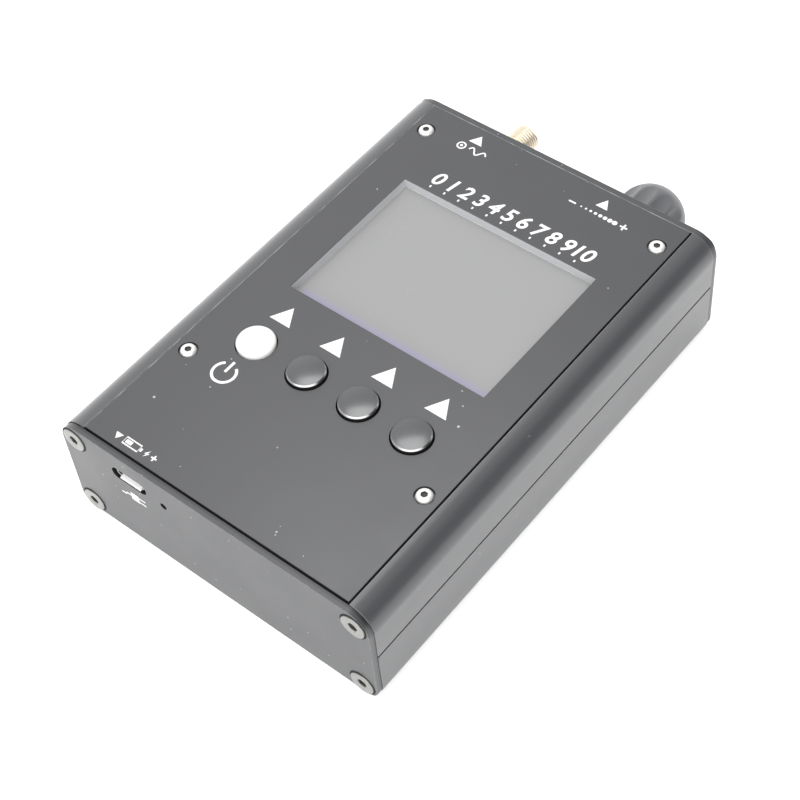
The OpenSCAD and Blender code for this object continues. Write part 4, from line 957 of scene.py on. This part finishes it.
def thread_rings(radius, pitch, depth, start, count):
    """The rings of a screw thread with flat crests, eight of them to a turn."""
    def section(radius, angle, height):
        phase = (height / pitch + angle / (2 * math.pi)) % 1
        return radius - depth * min(max(abs(2 * phase - 1) * 1.3 - 0.15, 0), 1)
    return [(radius, start + pitch / 8 * k, section) for k in range(count)]


towards_jack = Matrix.Rotation(math.radians(-90), 4, "X")
jack_x, _, jack_z = middle_mm("jack_nut")
jack_place = at(jack_x, 0, jack_z, towards_jack)
_, jack_mouth = ends_mm("jack_body", 1)
insulator_back, insulator_front = ends_mm("jack_insulator", 1)
jack = solid_form("jack_body")
# The plain barrel of the solid gives way to the threaded one, 0.8 mm out of the shell.
BARREL_START = 57.0
cut = bmesh.ops.bisect_plane(
    jack, geom=jack.verts[:] + jack.edges[:] + jack.faces[:], dist=1e-6,
    plane_co=(0, BARREL_START / 1000, 0), plane_no=(0, 1, 0), clear_outer=True)["geom_cut"]
bmesh.ops.bridge_loops(jack, edges=[g for g in cut if isinstance(g, bmesh.types.BMEdge)])
ease(jack, 0.15)
JACK_R, NECK_R, MOUTH_R, CORE_R, THREAD_START, JACK_PITCH = 3.15, 2.975, 2.3, 2.05, 60.75, 0.7056
turn(jack, [(NECK_R, BARREL_START - 0.1), (NECK_R, THREAD_START - 0.25),
            *thread_rings(JACK_R, JACK_PITCH, 0.2, THREAD_START, 116),
            (JACK_R - 0.3, jack_mouth - 0.1), (JACK_R - 0.4, jack_mouth), (MOUTH_R + 0.1, jack_mouth),
            (MOUTH_R, jack_mouth - 0.1), (MOUTH_R, insulator_front), (CORE_R, insulator_front),
            (CORE_R, BARREL_START - 0.1)], jack_place, 64, True)
piece_of(jack, "jack_body_turned", gold_plate, "gold_plate", "jack_body", sharp=50)

# White fluoropolymer: waxy and slightly translucent.
jack_ptfe = surface("ptfe_turned", "#f1efe9", Roughness=0.5, Subsurface_Weight=0.2, Subsurface_Scale=0.001)
relief(jack_ptfe, 0.3, 0.006)
INSULATOR_R, INSULATOR_BORE = 2.0, 0.68
insulator = bmesh.new()
turn(insulator, [(INSULATOR_R, insulator_back), (INSULATOR_R, insulator_front - 0.1),
                 (INSULATOR_R - 0.1, insulator_front), (0.75, insulator_front),
                 (INSULATOR_BORE, insulator_front - 0.1), (INSULATOR_BORE, insulator_back)],
     jack_place, 48, True)
piece_of(insulator, "jack_insulator_turned", jack_ptfe, "insulator", "jack_insulator")

# The contact is a pin with a socket in its front end, and a leg down to the board at its back.
PIN_R, PIN_BORE, PIN_BACK, BORE_END = 0.635, 0.47, 49.2, 66.2
LEG_R, LEG_Y, LEG_LOW, LEG_HIGH = 0.44, 49.435, 14.3, 18.7
contact = bmesh.new()
turn(contact, [(0, PIN_BACK), (0.6, PIN_BACK + 0.1), (PIN_R, PIN_BACK + 0.2), (PIN_R, insulator_front - 0.1),
               (0.58, insulator_front), (0.5, insulator_front), (PIN_BORE, insulator_front - 0.1),
               (PIN_BORE, BORE_END + 0.2), (0, BORE_END)], jack_place, 32)
turn(contact, [(0, LEG_LOW), (LEG_R, LEG_LOW), (LEG_R, LEG_HIGH - 0.1), (0, LEG_HIGH)],
     at(jack_x, LEG_Y, 0), 24)
piece_of(contact, "jack_contact_plated", gold_plate, "gold_plate", "jack_contact")


def washer(node, finish, slot, place, bore, edge_h):
    """A punched washer, its outer edges rounded by the punch over edge_h mm of their height."""
    edge_w = 0.1
    low, high = ends_mm(node, 1)
    left, right = ends_mm(node, 0)
    radius = (right - left) / 2
    form = bmesh.new()
    turn(form, [(bore, low), (radius - edge_w, low), (radius, low + edge_h), (radius, high - edge_h),
                (radius - edge_w, high), (bore, high)], place, 64, True)
    piece_of(form, node + "_stamped", finish, slot, node)


def nut(node, finish, slot, place, bore):
    """A hex nut with the corners of both faces turned off at some 30 degrees."""
    def turned_corners(radius, angle, height):
        return min(hex_section(flats / 2, angle, height), radius)
    chamfer_h = 0.32
    low, high = ends_mm(node, 1)
    bottom, top = ends_mm(node, 2)
    flats = top - bottom
    corner = flats / math.sqrt(3)
    form = bmesh.new()
    turn(form, [(bore, low), (flats / 2 - 0.1, low), (flats / 2 + 0.05, low, turned_corners),
                (corner, low + chamfer_h, turned_corners), (corner, high - chamfer_h, turned_corners),
                (flats / 2 + 0.05, high, turned_corners), (flats / 2 - 0.1, high), (bore + 0.15, high),
                (bore, high - 0.15)], place, 96, True)
    piece_of(form, node + "_turned", finish, slot, node)


washer("jack_washer", gold_plate, "gold_plate", jack_place, bore=3.3, edge_h=0.08)
nut("jack_nut", gold_plate, "gold_plate", jack_place, bore=3.0)

# ---- Encoder and tuning knob ----
# A rotary encoder with a push switch: a die-cast housing on the board, a threaded bushing
# through the end plate with washer and nut, and a flatted shaft that carries the knob.

# Die-cast zinc: dull grey with a slightly pitted skin.
coder_zinc = surface("zinc_die_cast", "#8d9093", Metallic=0.85, Roughness=0.45)
relief(coder_zinc, 0.4, 0.03)
rub(coder_zinc, 0.3, "#c9cbcc", 0.5)
eased("encoder_housing", 0.25, coder_zinc, "cast_metal")

# Nickel-plated brass: bright and cool grey, rubbed on its edges.
nickel = plated("brass_nickel_plated", "#c3c5c4", 0.25, 0.3)
rub(nickel, 0.12, "#f0f0ee", 0.4)

knob_x, _, knob_z = middle_mm("encoder_nut")
knob_place = at(knob_x, 0, knob_z, towards_jack)
BUSHING_R, BUSHING_BORE, BUSHING_PITCH = 3.5, 3.05, 0.75
bushing_back, bushing_front = ends_mm("encoder_bushing", 1)
bushing = bmesh.new()
turn(bushing, [(BUSHING_R - 0.1, bushing_back), (BUSHING_R, bushing_back + 0.1),
               (BUSHING_R, bushing_back + 0.7),
               *thread_rings(BUSHING_R, BUSHING_PITCH, 0.35, bushing_back + 0.8, 64),
               (BUSHING_R - 0.3, bushing_front - 0.1), (BUSHING_BORE + 0.05, bushing_front),
               (BUSHING_BORE, bushing_front - 0.1), (BUSHING_BORE, bushing_back)], knob_place, 64, True)
piece_of(bushing, "encoder_bushing_turned", nickel, "nickel_brass", "encoder_bushing", sharp=50)
washer("encoder_washer", nickel, "nickel_brass", knob_place, bore=3.6, edge_h=0.1)
nut("encoder_nut", nickel, "nickel_brass", knob_place, bore=3.52)

PUSH_PIN_R = 1.5
pin_back, pin_front = ends_mm("encoder_push_pin", 1)
pin = bmesh.new()
turn(pin, [(0, pin_back), (PUSH_PIN_R - 0.2, pin_back), (PUSH_PIN_R, pin_back + 0.2),
           (PUSH_PIN_R, pin_front - 0.15), (PUSH_PIN_R - 0.15, pin_front), (0, pin_front)], knob_place, 32)
piece_of(pin, "encoder_push_pin_moulded", plunger_acetal, "plunger_plastic", "encoder_push_pin")

SHAFT_R, FLAT_START = 3.0, 64.0
shaft_back, shaft_front = ends_mm("encoder_shaft", 1)


def flatted(radius, angle, height):
    """The shaft's round section with its flat, half a radius off the axis."""
    return min(radius, radius / 2 / max(math.sin(angle), 0.01))


shaft = bmesh.new()
turn(shaft, [(0, shaft_back), (SHAFT_R - 0.1, shaft_back), (SHAFT_R, shaft_back + 0.1),
             (SHAFT_R, FLAT_START - 0.02), (SHAFT_R, FLAT_START, flatted),
             (SHAFT_R, shaft_front - 0.15, flatted), (SHAFT_R - 0.15, shaft_front, flatted),
             (0, shaft_front)], knob_place, 72)
piece_of(shaft, "encoder_shaft_turned", nickel, "nickel_brass", "encoder_shaft")

# Moulded ABS: matt black with a fine spark-eroded skin, paler along the ridges.
knob_abs = surface("abs_moulded_matt", "#6f7073", Roughness=0.42, IOR=1.53,
                   Sheen_Weight=0.3, Sheen_Roughness=0.4)
relief(knob_abs, 0.3, 0.012)
rub(knob_abs, 0.3, "#b0b1b2", 0.6)
KNOB_R, FLUTE_R, FLUTE_DEPTH, FLUTES = 8.1, 4.0, 0.65, 12
FLUTE_TURN = math.radians(-5)


def fluted(radius, angle, height):
    """The knob's rim with its wide hollow flutes."""
    off = (angle - FLUTE_TURN + math.pi / FLUTES) % (2 * math.pi / FLUTES) - math.pi / FLUTES
    centre = KNOB_R - FLUTE_DEPTH + FLUTE_R
    inside_root = FLUTE_R ** 2 - (centre * math.sin(off)) ** 2
    if inside_root <= 0:
        return radius
    return min(radius, centre * math.cos(off) - math.sqrt(inside_root))


# The knob is a cap over the nut: a round hollow, then a bore with the shaft's flat.
KNOB_BORE, BORE_START, HOLLOW_R, DOME_R, DOME_START = 3.02, 64.2, 6.2, 6.0, 66.5
knob_back, knob_front = ends_mm("tuning_knob", 1)
dome_h = knob_front - DOME_START
dome = [(KNOB_R - DOME_R + DOME_R * math.cos(a), DOME_START + dome_h * math.sin(a), fluted)
        for a in (math.radians(d) for d in range(0, 91, 5))]
knob = bmesh.new()
turn(knob, [(0, shaft_front + 0.05), (KNOB_BORE, shaft_front + 0.05, flatted),
            (KNOB_BORE, BORE_START, flatted), (HOLLOW_R, BORE_START), (HOLLOW_R, knob_back),
            (KNOB_R - 0.1, knob_back, fluted), (KNOB_R, knob_back + 0.1, fluted), *dome,
            (0, knob_front)], knob_place, 240)
piece_of(knob, "tuning_knob_moulded", knob_abs, "knob_black", "tuning_knob")

# ---- Floor, light and camera ----
# A pale seamless floor in soft studio light, seen from in front of the charging end.

# White seamless paper: matt, and shown as white to the camera, to gloss and through glass.
floor_paper = surface("floor_paper", "#e8e8e8", Roughness=0.9)
FLOOR_REACH, FLOOR_LIFT = 3, 0.5
corners = [(-FLOOR_REACH, -FLOOR_REACH, 0), (FLOOR_REACH, -FLOOR_REACH, 0),
           (FLOOR_REACH, FLOOR_REACH, 0), (-FLOOR_REACH, FLOOR_REACH, 0)]
sheet = bpy.data.meshes.new("floor")
sheet.from_pydata(corners, [], [(0, 1, 2, 3)])
floor = bpy.data.objects.new("floor", sheet)
sheet.materials.append(floor_paper)
bpy.context.scene.collection.objects.link(floor)
seen = add(floor_paper, "LightPath")
seen_glossy = add(floor_paper, "Math", {0: seen.outputs["Is Camera Ray"], 1: seen.outputs["Is Glossy Ray"]},
                  operation="MAXIMUM")
seen_any = add(floor_paper, "Math", {0: seen_glossy.outputs[0], 1: seen.outputs["Is Transmission Ray"]},
               operation="MAXIMUM")
lift = add(floor_paper, "Math", {0: seen_any.outputs[0], 1: FLOOR_LIFT}, operation="MULTIPLY")
floor_paper.node_tree.links.new(lift.outputs[0], skin_input(floor_paper, "Emission Strength"))
skin_input(floor_paper, "Emission Color").default_value = (1, 1, 1, 1)

world = bpy.data.worlds.new("studio")
bpy.context.scene.world = world
world.use_nodes = True
sky = world.node_tree.nodes["Background"]
sky.inputs["Color"].default_value = (1, 1, 1, 1)
way = add(world, "TexCoord").outputs["Generated"]
# An even white room, with a bright window in front, a pale wall on the left and a dark doorway on the
# right: the way to each, how many degrees off it the patch ends and is full, and what it adds.
level = 0.7
for towards, ends, full, change in (((0.38, -0.74, 0.55), 62, 18, 1.5), ((-0.87, 0.45, 0.15), 50, 15, 0.8),
                                    ((0.78, 0.45, 0.43), 39, 10, -0.66)):
    facing = add(world, "VectorMath", {0: way, 1: Vector(towards).normalized()}, operation="DOT_PRODUCT")
    patch = add(world, "MapRange", {
        "Value": facing.outputs["Value"], "From Min": math.cos(math.radians(ends)),
        "From Max": math.cos(math.radians(full)), "To Min": 0.0, "To Max": change},
        interpolation_type="SMOOTHSTEP")
    level = add(world, "Math", {0: patch.outputs[0], 1: level}, operation="ADD").outputs[0]
world.node_tree.links.new(level, sky.inputs["Strength"])

lamp = bpy.data.lights.new("softbox", "AREA")
lamp.shape = "SQUARE"
lamp.size = 0.34
lamp.energy = 1.7
softbox = bpy.data.objects.new("softbox", lamp)
softbox.location = (-0.28, 0.28, 0.98)
softbox.rotation_euler = (-Vector(softbox.location)).to_track_quat("-Z", "Y").to_euler()
bpy.context.scene.collection.objects.link(softbox)

# The camera stands where the photograph was taken, aims at a spot on the face and is a little tilted.
EYE, AIM, TILT = Vector((0.16396, -0.17192, 0.30439)), Vector((0.0125246, -0.0141871, 0.0278)), -6.36835
optics = bpy.data.cameras.new("camera")
optics.lens = 80.77
optics.sensor_width = 36
optics.clip_start = 0.01
camera = bpy.data.objects.new("camera", optics)
bpy.context.scene.collection.objects.link(camera)
aimed = (AIM - EYE).to_track_quat("-Z", "Y").to_matrix().to_4x4()
tilted = Matrix.Rotation(math.radians(TILT), 4, "Z")
camera.matrix_world = Matrix.Translation(EYE) @ aimed @ tilted
bpy.context.scene.camera = camera
bpy.context.scene.view_settings.view_transform = "Standard"
